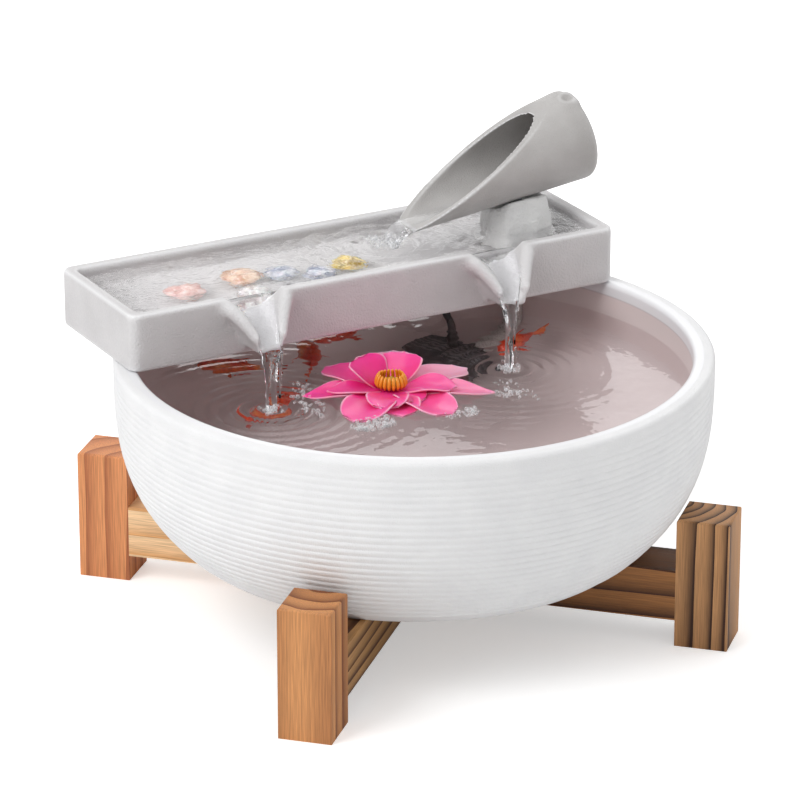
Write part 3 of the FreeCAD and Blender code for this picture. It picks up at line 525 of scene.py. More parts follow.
def dress(piece: Piece, look: Surface) -> None:
    """Gives a piece one material all over."""
    piece.data.materials.clear()
    piece.data.materials.append(look)


def dress_nodes(look: Surface, *nodes: str) -> None:
    """Gives one material to CAD pieces that are shown as they are."""
    for node in nodes:
        dress(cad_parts[node], look)


def place(piece: Piece, look: Surface, body: str, slot: str, *nodes: str) -> Piece:
    """Dresses a piece and rides it on a body.

    Args:
        piece: the piece.
        look: its material.
        body: the body that it moves with.
        slot: the name of its finish; it is not used.
        nodes: the CAD nodes that it stands for, which are hidden.

    Returns:
        The piece.
    """
    dress(piece, look)
    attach(piece, body)
    if nodes:
        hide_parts(*nodes)
    LOG.info("%s rides on %s", piece.name, body)
    return piece


# ------------------------------------------------------------------ stand
@dataclass(frozen=True)
class Timber:
    """One timber's grain: its colours, scorch, ring count, and how far off its middle its pith lies."""

    pale: Colour
    dark: Colour
    scorch: float
    rings: float
    off: float = 0.0
    far_pale: Optional[Colour] = None
    far_dark: Optional[Colour] = None


@dataclass
class Stand:
    """The crossed timber stand: two beams and four posts, dressed where the frame has them."""

    posts: dict = field(default_factory=lambda: {
        "post_front_left": Timber((0.74, 0.34, 0.13), (0.24, 0.075, 0.025), 0.8, 24.0, 26.0),
        "post_front_right": Timber((0.72, 0.37, 0.16), (0.05, 0.018, 0.008), 1.0, 44.0, 30.0),
        "post_back_right": Timber((0.66, 0.34, 0.14), (0.14, 0.055, 0.02), 0.8, 40.0, 24.0),
        "post_back_left": Timber((0.80, 0.33, 0.135), (0.42, 0.135, 0.055), 0.5, 26.0, 34.0),
    })
    lower: Timber = Timber((0.66, 0.36, 0.14), (0.10, 0.035, 0.012), 0.9, 34.0)
    upper: Timber = Timber((0.98, 0.68, 0.40), (0.72, 0.36, 0.14), 0.4, 20.0,
                           far_pale=(0.42, 0.18, 0.06), far_dark=(0.06, 0.018, 0.006))
    beam_pith: float = 44.0

    def timber(self, node: str, grain: Timber, pith: Vector, heading: Point, wander: float) -> None:
        """Dresses one timber.

        Args:
            node: its CAD node.
            grain: its look.
            pith: where its rings' axis lies from its middle, in millimetres.
            heading: that axis's turn, in degrees.
            wander: how far its rings wander, in metres.
        """
        low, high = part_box(node)
        middle = (low + high) / 2 / MM
        finish = TimberFinish("timber_" + node, grain.pale, grain.dark, tuple(middle + pith), heading,
                              grain.rings, wander, grain.scorch, grain.far_pale, grain.far_dark)
        dress_nodes(finish.build(), node)

    def dress(self) -> None:
        """Gives each timber its own grain, and the dowels theirs."""
        for index, (node, grain) in enumerate(self.posts.items()):
            turn = math.radians(40.0 + 75.0 * index)
            pith = Vector((grain.off * math.cos(turn), grain.off * math.sin(turn), 0))
            self.timber(node, grain, pith, (0, 90, 0), 0.016)
        for node, grain, heading in (("beam_lower", self.lower, 45), ("beam_upper", self.upper, -45)):
            self.timber(node, grain, Vector((0, 0, self.beam_pith)), (0, 0, heading), 0.02)
        dowels = SkinFinish("beech_dowels", (0.72, 0.55, 0.36), (0.62, 0.45, 0.28), 0.6, grain=2.0)
        dress_nodes(dowels.build(), "joint_dowels")
        LOG.info("stand dressed")


# ------------------------------------------------------------------ bowl
@dataclass
class Bowl:
    """The ribbed bowl and the water in it; sizes in millimetres."""

    rim_r: float = 190.0
    rim_z: float = 175.0
    rim_width: float = 14.0
    rim_edge: float = 3.0
    foot_r: float = 145.0
    foot_z: float = 51.5
    floor_r: float = 136.0
    floor_z: float = 65.5
    fullness: float = 3.25
    ribs: int = 24
    rib_top: float = 167.0
    rib_low: float = 56.0
    rib_depth: float = 1.0
    steps: int = 288
    rib_shape: Sequence[tuple[float, float]] = (
        (0.0, 1.0), (0.18, 0.85), (0.34, 0.15), (0.55, 0.0), (0.8, 0.05), (0.93, 0.55))
    # How far under the rim the painted water shade on the inside begins, in millimetres.
    painted_waterline_drop: float = 8.5
    water_sink: float = 0.8
    landings: Sequence[Point] = ((-101.0, 1.0, 1.0), (64.0, -9.0, 0.35))

    def wall(self, low_r: float, high_r: float, low_z: float, z: float) -> float:
        """Radius of a wall at a height.

        Args:
            low_r: the wall's radius at its foot.
            high_r: its radius at the rim.
            low_z: the foot's height.
            z: the height asked for.

        Returns:
            The radius in millimetres.
        """
        top = self.rim_z - self.rim_edge
        drop = min(max((top - z) / (top - low_z), 0.0), 1.0)
        return low_r + (high_r - low_r) * (1 - drop ** self.fullness)

    def outside(self, z: float) -> float:
        """The outer wall's radius at a height."""
        return self.wall(self.foot_r, self.rim_r, self.foot_z, z)

    def inside(self, z: float) -> float:
        """The inner wall's radius at a height."""
        return self.wall(self.floor_r, self.rim_r - self.rim_width, self.floor_z, z)

    def edge_arc(self, middle: float, start: float) -> list[tuple[float, float]]:
        """A quarter turn of the rim's rounded edge, round a radius, from an angle in degrees."""
        edge = self.rim_edge
        turns = [math.radians(start + step * 15) for step in range(7)]
        return [(middle + edge * math.cos(turn), self.rim_z - edge + edge * math.sin(turn)) for turn in turns]

    def outline(self) -> list[tuple[float, float]]:
        """The bowl's section, from the middle of its underside round to the middle of its floor."""
        foot, edge = self.foot_r, self.rim_edge
        points = [(0.0, self.foot_z + 3), (foot - 12, self.foot_z + 3), (foot - 11, self.foot_z),
                  (foot - 1.5, self.foot_z), (foot, self.foot_z + 1.2)]
        pitch = (self.rib_top - self.rib_low) / self.ribs
        for rib in range(self.ribs):
            low = self.rib_low + rib * pitch
            fade = 1.0 - 0.6 * rib / self.ribs
            for share, depth in self.rib_shape:
                z = low + share * pitch
                points.append((self.outside(z) - depth * self.rib_depth * fade, z))
        points += [(self.outside(self.rib_top) - 0.3, self.rib_top), (self.outside(169.5), 169.5)]
        points += self.edge_arc(self.rim_r - edge, 0) + self.edge_arc(self.rim_r - self.rim_width + edge, 90)
        for step in range(1, 30):
            z = self.rim_z - edge - step / 30 * (self.rim_z - edge - self.floor_z - 1.5)
            points.append((self.inside(z), z))
        points += [(self.floor_r - 5, self.floor_z + 0.4), (self.floor_r - 12, self.floor_z),
                   (self.floor_r / 2, self.floor_z), (0.0, self.floor_z)]
        return points

    def build(self) -> Piece:
        """The ceramic bowl, its ribs pressed unevenly as on a hand-combed pot."""
        bm = lathe(self.outline(), self.steps)
        for vert in bm.verts:
            radius = Vector((vert.co.x, vert.co.y)).length / MM
            z = vert.co.z / MM
            if radius > self.inside(z) + 5 and self.rib_low < z < self.rib_top:
                along = math.atan2(vert.co.y, vert.co.x) * self.rim_r
                rough = wobble(along, z * 4, 3.0, 9.0) * 0.22 + wobble(along, z * 6, 9.0, 3.5) * 0.14
                pressed = min(radius + rough, self.outside(z)) / radius
                vert.co.x *= pressed
                vert.co.y *= pressed
        within = bm.verts.layers.float.new("within")
        for vert in bm.verts:
            radius, z = Vector((vert.co.x, vert.co.y)).length / MM, vert.co.z / MM
            halfway = (self.inside(z) + self.outside(z)) / 2
            vert[within] = float(radius < halfway - 2 and z > self.floor_z - 1)
        return as_piece(bm, "ceramic_bowl")

    def glaze(self) -> Surface:
        """Matt white ceramic with a sandy skin, and a smoother pale glaze inside, painted mauve below a line
        near the rim as painted shade and reflection of the water.
        """
        made = Material("bowl_glaze", Specular_IOR_Level=0.4)
        nodes = made.nodes
        skin = nodes.add("Group", {"Vector": made.place, "Grain": 0.9}, node_tree=skin_group())
        height = nodes.add("SeparateXYZ", {0: made.place}).outputs[2]
        level = (self.rim_z - self.painted_waterline_drop) * MM
        inside = nodes.math("GREATER_THAN", nodes.attribute("within"), 0.5)
        below = nodes.math("LESS_THAN", height, level)
        off = nodes.math("ABSOLUTE", nodes.math("SUBTRACT", height, level))
        line = nodes.span(off, 0.0002, 0.0009, 1, 0)
        outer = nodes.mix(skin.outputs["Patches"], (0.87, 0.87, 0.875), (0.83, 0.83, 0.84))
        # Painted shade: below that line the inside is painted mauve for the shade and reflections of the
        # water over it, and a darker painted line marks the shade at the waterline.
        glaze_and_painted_water_shade = nodes.mix(below, (0.84, 0.84, 0.86), (0.76, 0.665, 0.655))
        glaze_and_painted_water_shade = nodes.mix(nodes.math("MULTIPLY", line, 0.35), glaze_and_painted_water_shade, (0.50, 0.46, 0.47))
        made.feed("Base Color", nodes.mix(inside, outer, glaze_and_painted_water_shade))
        made.feed("Roughness", nodes.mix(inside, (0.62, 0.62, 0.62), (0.28, 0.28, 0.28)))
        sandy = nodes.math("SUBTRACT", 1.0, nodes.math("MULTIPLY", inside, 0.85))
        made.bump(nodes.math("MULTIPLY", skin.outputs["Height"], sandy), 0.3)
        return made.material

    def ripple(self, x: float, y: float) -> float:
        """Height of the rippled water over its still level, in millimetres."""
        height = 0.28 * wobble(x, y, 4.0, 34.0) + 0.1 * wobble(x, y, 8.0, 12.0)
        for land_x, land_y, strength in self.landings:
            reach = math.hypot(x - land_x, y - land_y)
            fade = math.exp(-reach / 30.0)
            height += strength * 2.3 * math.cos(reach * math.tau / 9.5) * fade
            height -= strength * 1.6 * math.exp(-(reach / 5.0) ** 2)
        return height

    def water(self) -> Piece:
        """The bowl's water: a rippled surface, and sides and floor set a little into the ceramic."""
        sink = self.water_sink
        edge = self.inside(WATER_Z) + sink
        rings = 96
        outline = [(edge * step / rings, WATER_Z) for step in range(rings + 1)]
        for step in range(1, 16):
            z = WATER_Z - step / 16 * (WATER_Z - self.floor_z)
            outline.append((self.inside(z) + sink, z))
        outline += [(self.floor_r + sink, self.floor_z - sink), (0.0, self.floor_z - sink)]
        bm = lathe(outline, 256)
        for vert in bm.verts:
            if abs(vert.co.z - WATER_Z * MM) < WELD:
                x, y = vert.co.x / MM, vert.co.y / MM
                still = min(max((math.hypot(x, y) - edge + 14) / 14, 0), 1)
                vert.co.z += self.ripple(x, y) * (1 - still) * MM
        return as_piece(bm, "bowl_water")

    def dress(self) -> None:
        """Builds, dresses and places the bowl and its water."""
        place(self.build(), self.glaze(), "bowl", "ceramic_bowl", "bowl")
        # The water's mauve-grey tint is painted shade: it stands for the shade and reflections that darken
        # the deep water.
        water = WaterFinish("bowl_water", (0.80, 0.765, 0.775), 0.03, ripple=14.0, depth=0.35)
        place(self.water(), water.build(), "bowl", "ceramic_bowl")


# ------------------------------------------------------------------ tray, spout, rock and stones
@dataclass
class Tray:
    """The tray with its two pouring lips; sizes in millimetres."""

    lips: Sequence[float] = (-88.0, 88.0)
    lip_half: float = 25.0
    front: float = 45.7
    reach: float = 21.0
    top: float = 213.0
    wall: float = 8.0
    water_floor: float = 182.6
    splash: tuple[float, float] = (34.0, 98.0)

    def build(self) -> Piece:
        """The tray, its lips swollen into its front wall and every edge worn round."""
        bm = node_copy("tray")
        for middle in self.lips:
            for side in (-1, 1):
                for step in range(18):
                    share = 0.04 + step * 0.05
                    size, drop = 5.3 - 1.9 * share, 5.9 + 19.5 * share ** 1.6
                    x = middle + side * (self.lip_half - 3.5 - share * 13.5)
                    y = self.front + 3 - share * self.reach
                    add_ball(bm, mm(x, y, self.top - drop), mm(size, size * 1.4, size * 1.1), 3)
        return softened(bm, "pouring_tray", voxel=1.6, rounds=9)

    def ripple(self, x: float, y: float) -> float:
        """Height of the tray's water over its still level: chop, the splash's rings, the pull of the lips."""
        height = 0.75 * wobble(x * 0.7, y * 1.5, 2.0, 15.0) + 0.35 * wobble(x, y * 1.4, 6.0, 6.5)
        ahead, aside = x - self.splash[0], y - self.splash[1]
        reach = math.hypot(ahead, aside)
        height += 1.5 * math.cos(reach * math.tau / 13.0) * math.exp(-reach / 32.0)
        height += 0.5 * math.cos(math.hypot(ahead, aside * 1.3) * math.tau / 9.0) * math.exp(-reach / 70.0)
        for middle in self.lips:
            height -= 2.6 * math.exp(-((x - middle) / 15) ** 2) * math.exp(-max(y - self.front, 0) / 16)
        return height

    def water(self) -> Piece:
        """The tray's water: a rippled sheet that runs out over both lips."""
        low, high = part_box("tray")
        x0, x1 = low.x + self.wall * MM, high.x - self.wall * MM
        y0, y1 = (self.front + self.wall) * MM, high.y - self.wall * MM
        bm = bmesh.new()
        middle = Matrix.Translation(((x0 + x1) / 2, (y0 + y1) / 2, TRAY_WATER_Z * MM))
        size = Matrix.Diagonal((x1 - x0 + MM, y1 - y0 + MM, 1, 1))
        bmesh.ops.create_grid(bm, x_segments=164, y_segments=46, size=0.5, matrix=middle @ size)
        for vert in bm.verts:
            vert.co.z += self.ripple(vert.co.x / MM, vert.co.y / MM) * MM
        rim = [edge for edge in bm.edges if edge.is_boundary]
        made = bmesh.ops.extrude_edge_only(bm, edges=rim)["geom"]
        for vert in (item for item in made if isinstance(item, bmesh.types.BMVert)):
            vert.co.z = self.water_floor * MM
        bmesh.ops.contextual_create(bm, geom=[edge for edge in bm.edges if edge.is_boundary])
        return as_piece(bm, "tray_water")

    def dress(self) -> None:
        """Builds, dresses and places the tray and its water."""
        # The near-white edge colour is a painted highlight along the tray's rounded edges.
        skin = SkinFinish("tray_ceramic", (0.67, 0.655, 0.66), (0.60, 0.585, 0.59), 0.45, 0.12,
                          grain=1.3, depth=0.4, edge=(0.92, 0.92, 0.93))
        place(self.build(), skin.build(), "tray", "ceramic_tray", "tray")
        water = WaterFinish("tray_water", (0.985, 0.985, 0.99), 0.02, ripple=5.0, depth=0.9)
        place(self.water(), water.build(), "tray", "ceramic_tray")


@dataclass
class Spout:
    """The slanted spout tube and the stone that carries it; sizes in millimetres."""

    knot: Point = (164.5, 91.0, 289.5)

    def knot_push(self, at: Point) -> float:
        """How far the tube's skin moves at a place: a swollen ring round a dimple."""
        reach = (Vector(at) - Vector(self.knot)).length
        return 1.3 * math.exp(-((reach - 5.5) / 3.5) ** 2) - 2.2 * math.exp(-(reach / 2.8) ** 2)

    def tube(self) -> Piece:
        """The tube, its cut rim and its closed end rounded, with its knot."""
        return reshaped(softened(node_copy("spout_tube"), "spout_body", voxel=0.9, rounds=16),
                        self.knot_push)

    def stone(self) -> Piece:
        """The rough stone under the tube."""
        return reshaped(softened(node_copy("rock_support"), "rock", voxel=1.6, rounds=22),
                        lumps(height=1.3, width=12.0, sink=0.9))

    def dress(self) -> None:
        """Builds, dresses and places the tube and its stone."""
        # The near-white edge colour is a painted highlight along the tube's rounded edges.
        skin = SkinFinish("spout_ceramic", (0.51, 0.495, 0.485), (0.44, 0.425, 0.415), 0.5, 0.1,
                          grain=0.9, depth=0.3, edge=(0.94, 0.94, 0.95))
        place(self.tube(), skin.build(), "spout", "ceramic_spout", "spout_tube")
        rough = SkinFinish("white_stone", (0.88, 0.88, 0.87), (0.76, 0.76, 0.76), 0.45, 0.2,
                           grain=1.6, depth=0.5)
        place(self.stone(), rough.build(), "tray", "rock", "rock_support")


@dataclass(frozen=True)
class StoneLook:
    """One glass stone's colours."""

    pale: Colour
    deep: Colour
    vein: Colour


@dataclass
class Stones:
    """The tumbled glass stones in the tray."""

    looks: dict = field(default_factory=lambda: {
        "pebble_pink": StoneLook((0.86, 0.62, 0.58), (0.66, 0.34, 0.30), (0.93, 0.84, 0.82)),
        "pebble_peach": StoneLook((0.86, 0.64, 0.48), (0.60, 0.30, 0.16), (0.93, 0.86, 0.80)),
        "pebble_clear": StoneLook((0.78, 0.77, 0.76), (0.42, 0.36, 0.36), (0.93, 0.93, 0.93)),
        "pebble_blue": StoneLook((0.62, 0.64, 0.70), (0.22, 0.25, 0.36), (0.86, 0.88, 0.92)),
        "pebble_yellow": StoneLook((0.86, 0.66, 0.16), (0.42, 0.26, 0.02), (0.97, 0.88, 0.50)),
    })

    def build(self, node: str) -> Piece:
        """A stone or pair of stones, made uneven inside its CAD shape."""
        bm = node_copy(node)
        push_out(bm, lumps(height=1.1, width=9.0, sink=0.8))
        return softened(bm, node.replace("pebble", "stone"), voxel=0.7, rounds=3)

    def material(self, name: str, look: StoneLook) -> Surface:
        """Cloudy veined glass."""
        made = Material(name, Roughness=0.08, Coat_Weight=0.6, Coat_Roughness=0.05,
                        Subsurface_Weight=0.3, Subsurface_Scale=0.004)
        cloud = made.nodes.noise(made.place, 7.0, 4)
        vein = made.nodes.noise(made.place, 3.0, 5)
        colour = made.nodes.mix(made.nodes.span(cloud, 0.42, 0.58), look.deep, look.pale)
        colour = made.nodes.mix(made.nodes.span(vein, 0.56, 0.68, 0, 0.8), colour, look.vein)
        made.feed("Base Color", colour)
        made.bump(cloud, 0.6)
        return made.material

    def dress(self) -> None:
        """Builds, dresses and places every stone."""
        for node, look in self.looks.items():
            slot = node.replace("pebble", "stone")
            place(self.build(node), self.material(slot, look), "tray", slot, node)


# ------------------------------------------------------------------ running water
def chance(index: int, seed: float) -> float:
    """A fixed, evenly spread number from 0 to 1 for each index and seed."""
    return 0.5 + 0.5 * noise.cell(Vector((index * 1.37 + 0.3, seed * 5.1 + 0.4, 0.5)))


@dataclass(frozen=True)
class Station:
    """One cross-section of running water, in millimetres; roll is in degrees."""

    x: float
    y: float
    z: float
    half_width: float
    half_depth: float
    roll: float = 0.0


def strand(bm: BMesh, stations: Sequence[Station], sides: int = 14) -> None:
    """Adds a closed strand of water that runs through its stations.

    Args:
        bm: the mesh to add to.
        stations: its cross-sections, from its source down.
        sides: faces round it.
    """
    places = []
    for index, at in enumerate(stations):
        before, after = stations[max(index - 1, 0)], stations[min(index + 1, len(stations) - 1)]
        heading = mm(after.x - before.x, after.y - before.y, after.z - before.z).normalized()
        across = (Vector((1, 0, 0)) - heading * heading.x).normalized()
        across.rotate(Matrix.Rotation(math.radians(at.roll), 3, heading))
        over = heading.cross(across)
        shape = Matrix((across * at.half_width * MM, over * at.half_depth * MM, heading)).transposed()
        places.append(Matrix.Translation(mm(at.x, at.y, at.z)) @ shape.to_4x4())
    skin_over(bm, places, sides)


def between(first: Station, last: Station, count: int) -> list[Station]:
    """Stations spaced along a fall, both ends among them; it drops ever faster as it runs forward."""
    made = []
    for index in range(count):
        t = index / (count - 1)
        drop = 0.35 * t + 0.65 * t * t
        shares = (t, t, drop, t, t, t)
        pairs = zip(astuple(first), astuple(last), shares)
        made.append(Station(*(start + (end - start) * share for start, end, share in pairs)))
    return made


@dataclass(frozen=True)
class Raft:
    """A raft of bubbles: its body, its middle and reach, its count and its bubbles' radii, in millimetres."""

    body: str
    middle: Point
    spread: Point
    count: int
    small: float
    large: float


@dataclass
class Pours:
    """The water that runs over the lips and out of the tube, and its foam."""

    clear: WaterFinish = WaterFinish("running_water", (0.97, 0.975, 0.985), 0.01, ripple=3.0, depth=0.35)
    lip_run: Sequence[tuple[float, ...]] = (
        (0, 57, 207.2, 20.0, 1.6), (0, 50, 206.4, 18.0, 2.2), (0.1, 43, 203.8, 15.0, 2.5),
        (0.3, 36, 199.2, 11.8, 2.7), (0.6, 30, 194.0, 9.4, 2.8), (0.9, 25.2, 188.4, 7.6, 2.8))
    tube_run: Sequence[tuple[float, ...]] = (
        (66, 229.0, 8.0, 1.0), (46, 226.6, 10.5, 1.6), (26, 224.0, 12.0, 2.0), (10, 221.2, 12.4, 2.2),
        (-1, 218.6, 11.8, 2.4), (-6, 216.2, 10.8, 2.7), (-9.5, 212.6, 9.8, 3.0), (-11.5, 208.0, 9.0, 3.4))
    drops: Sequence[tuple[float, ...]] = (
        (73, -2, 163, 1.1), (70, -9, 159.5, 0.9), (76, 1, 158.5, 0.8), (63, -3, 157, 0.9))
    rafts: dict = field(default_factory=lambda: {
        "foam_pour_left": Raft("bowl", (-101, 0, WATER_Z + 0.3), (9, 9, 0.8), 34, 0.6, 1.7),
        "foam_left_ring": Raft("lotus", (-76, -4, WATER_Z + 0.2), (9, 22, 0.3), 34, 0.8, 1.9),
        "foam_left_back": Raft("lotus", (-66, 26, WATER_Z + 0.2), (10, 9, 0.3), 16, 0.7, 1.5),
        "foam_pour_right": Raft("bowl", (64, -9, WATER_Z + 0.3), (8, 8, 1.4), 44, 0.5, 1.6),
        "foam_trail": Raft("bowl", (50, -42, WATER_Z + 0.2), (9, 24, 0.3), 30, 0.5, 1.2),
        "foam_petal_left": Raft("lotus", (-58, -52, WATER_Z + 0.3), (15, 9, 1.6), 80, 0.8, 1.9),
        "foam_petal_right": Raft("lotus", (1, -62, WATER_Z + 0.3), (13, 6, 1.2), 46, 0.7, 1.6),
        "foam_petal_tip": Raft("lotus", (42, -46, WATER_Z + 0.2), (9, 6, 0.4), 26, 0.7, 1.8),
        "foam_tray": Raft("tray", (31, 98, TRAY_WATER_Z + 0.8), (9, 13, 3.0), 90, 0.6, 1.8),
    })

    def pour(self, bm: BMesh, middle: float, lean: float, fall: Sequence[Station],
             swell: Callable[[int], tuple[float, float]]) -> None:
        """Adds the sheet that slides down a lip's channel and the strand that it falls in.

        Args:
            bm: the mesh to add to.
            middle: the channel's middle along X.
            lean: how far off that middle the sheet leaves the lip.
            fall: the strand.
            swell: how much wider and deeper each of its stations is than it would be.
        """
        sheet = [Station(middle + share * lean, *rest) for share, *rest in self.lip_run]
        for index, at in enumerate(fall):
            wide, deep = swell(index)
            sheet.append(replace(at, half_width=at.half_width * wide, half_depth=at.half_depth * deep))
        strand(bm, sheet)

    def left(self) -> Piece:
        """The left pour: a sheet that folds into a twisted strand with a thin one beside it."""
        def swell(index: int) -> tuple[float, float]:
            """Wider where it's thinner."""
            wide = 1 + 0.12 * math.sin(index * 1.9) - 0.18 * math.sin(math.pi * index / 15)
            return wide, 2 - wide
        bm = bmesh.new()
        fall = between(Station(-90, 22.6, 183.5, 7.2, 2.6),
                       Station(-101.0, 1.0, WATER_Z - 1.5, 4.6, 3.4, 150), 16)
        self.pour(bm, -88.0, -2.0, fall, swell)
        strand(bm, between(Station(-81.5, 23.4, 184.0, 1.1, 0.9), Station(-93.0, 5.0, 158.0, 0.8, 0.7), 8), 8)
        return as_piece(bm, "pour_left")

    def right(self) -> Piece:
        """The right pour: a sheet that gathers into a thin strand and breaks into drops."""
        def swell(index: int) -> tuple[float, float]:
            """Wider and narrower by turns."""
            return 1 + 0.22 * math.sin(index * 2.3), 1
        bm = bmesh.new()
        fall = between(Station(82.5, 22.6, 183.5, 6.0, 2.4),
                       Station(64.0, -9.0, WATER_Z - 1.5, 2.8, 2.4, -120), 14)
        self.pour(bm, 88.0, -5.5, fall, swell)
        strand(bm, between(Station(88.0, 23.6, 184.0, 0.9, 0.8), Station(75.0, 3.0, 164.0, 0.6, 0.5), 6), 8)
        for x, y, z, size in self.drops:
            add_ball(bm, mm(x, y, z), mm(size, size, size * 1.4), 2)
        return as_piece(bm, "pour_right")

    def spout_sheet(self) -> Piece:
        """The water that runs along the tube's trough and tumbles off its tip."""
        low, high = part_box("spout_tube")
        middle, tip = (low.y + high.y) / 2 / MM, low.x / MM
        bm = bmesh.new()
        strand(bm, [Station(middle, -(tip + ahead), *rest) for ahead, *rest in self.tube_run])
        quarter = Matrix.Rotation(math.pi / 2, 3, "Z")      # its width lies along Y
        bmesh.ops.rotate(bm, verts=bm.verts, cent=(0, 0, 0), matrix=quarter)
        return as_piece(bm, "pour_spout")

    def foam(self, name: str, raft: Raft, seed: float) -> Piece:
        """A raft of bubbles on the water.

        Args:
            name: the piece's name.
            raft: its measures.
            seed: a number that sets how they fall.

        Returns:
            The piece.
        """
        bm = bmesh.new()
        wide, long, tall = raft.spread
        for index in range(raft.count):
            a = chance(index, seed) * math.tau
            r = math.sqrt(chance(index, seed + 1))
            size = raft.small + (raft.large - raft.small) * chance(index, seed + 2) ** 2
            up = tall * chance(index, seed + 3)
            centre = Vector(raft.middle) + Vector((wide * r * math.cos(a), long * r * math.sin(a), up))
            bmesh.ops.create_uvsphere(bm, u_segments=9, v_segments=6, radius=size * MM,
                                      matrix=Matrix.Translation(centre * MM))
        return as_piece(bm, name)

    def bubble(self) -> Surface:
        """Thin bubble film: opaque white at its edges as a painted reflection, and clear in the middle."""
        made = Material("bubble_film", Base_Color=(0.95, 0.96, 0.98, 1), Roughness=0.05, IOR=1.33)
        # Painted reflection: the film grows opaque white where it is seen edge-on.
        facing = made.nodes.add("LayerWeight", {"Blend": 0.35}).outputs["Facing"]
        made.feed("Alpha", made.nodes.span(facing, 0.1, 0.95, 0.12, 0.95))
        return made.material

    def dress(self) -> None:
        """Builds, dresses and places the running water and the foam."""
        water = self.clear.build()
        place(self.left(), water, "tray", "ceramic_tray")
        place(self.right(), water, "tray", "ceramic_tray")
        place(self.spout_sheet(), water, "spout", "ceramic_spout")
        film = self.bubble()
        slots = {"bowl": "ceramic_bowl", "tray": "ceramic_tray", "lotus": "foam_petal"}
        for index, (name, raft) in enumerate(self.rafts.items()):
            place(self.foam(name, raft, 1.5 + index * 4), film, raft.body, slots[raft.body])


# ------------------------------------------------------------------ lotus
class Tip(Enum):
    """How a petal ends."""

    POINTED = "pointed"
    ROUND = "round"


@dataclass(frozen=True)
class Petal:
    """One petal: heading and rise in degrees, sizes in millimetres."""

    heading: float
    length: float
    width: float
    rise: float
    tip: Tip
    tone: float
    root_z: float = 1.0
    droop: float = 0.0
    waist: float = 0.55
    taper: float = 0.45

    def width_at(self, along: float) -> float:
        """Its width at a share of its length, as a share of its full width."""
        if along < self.waist:
            return 0.34 + 0.66 * math.sin(math.pi / 2 * along / self.waist)
        past = (along - self.waist) / self.taper
        if self.tip is Tip.ROUND:
            return math.sqrt(max(1 - past ** 2.6, 0.0))
        return 1 - past ** 1.55


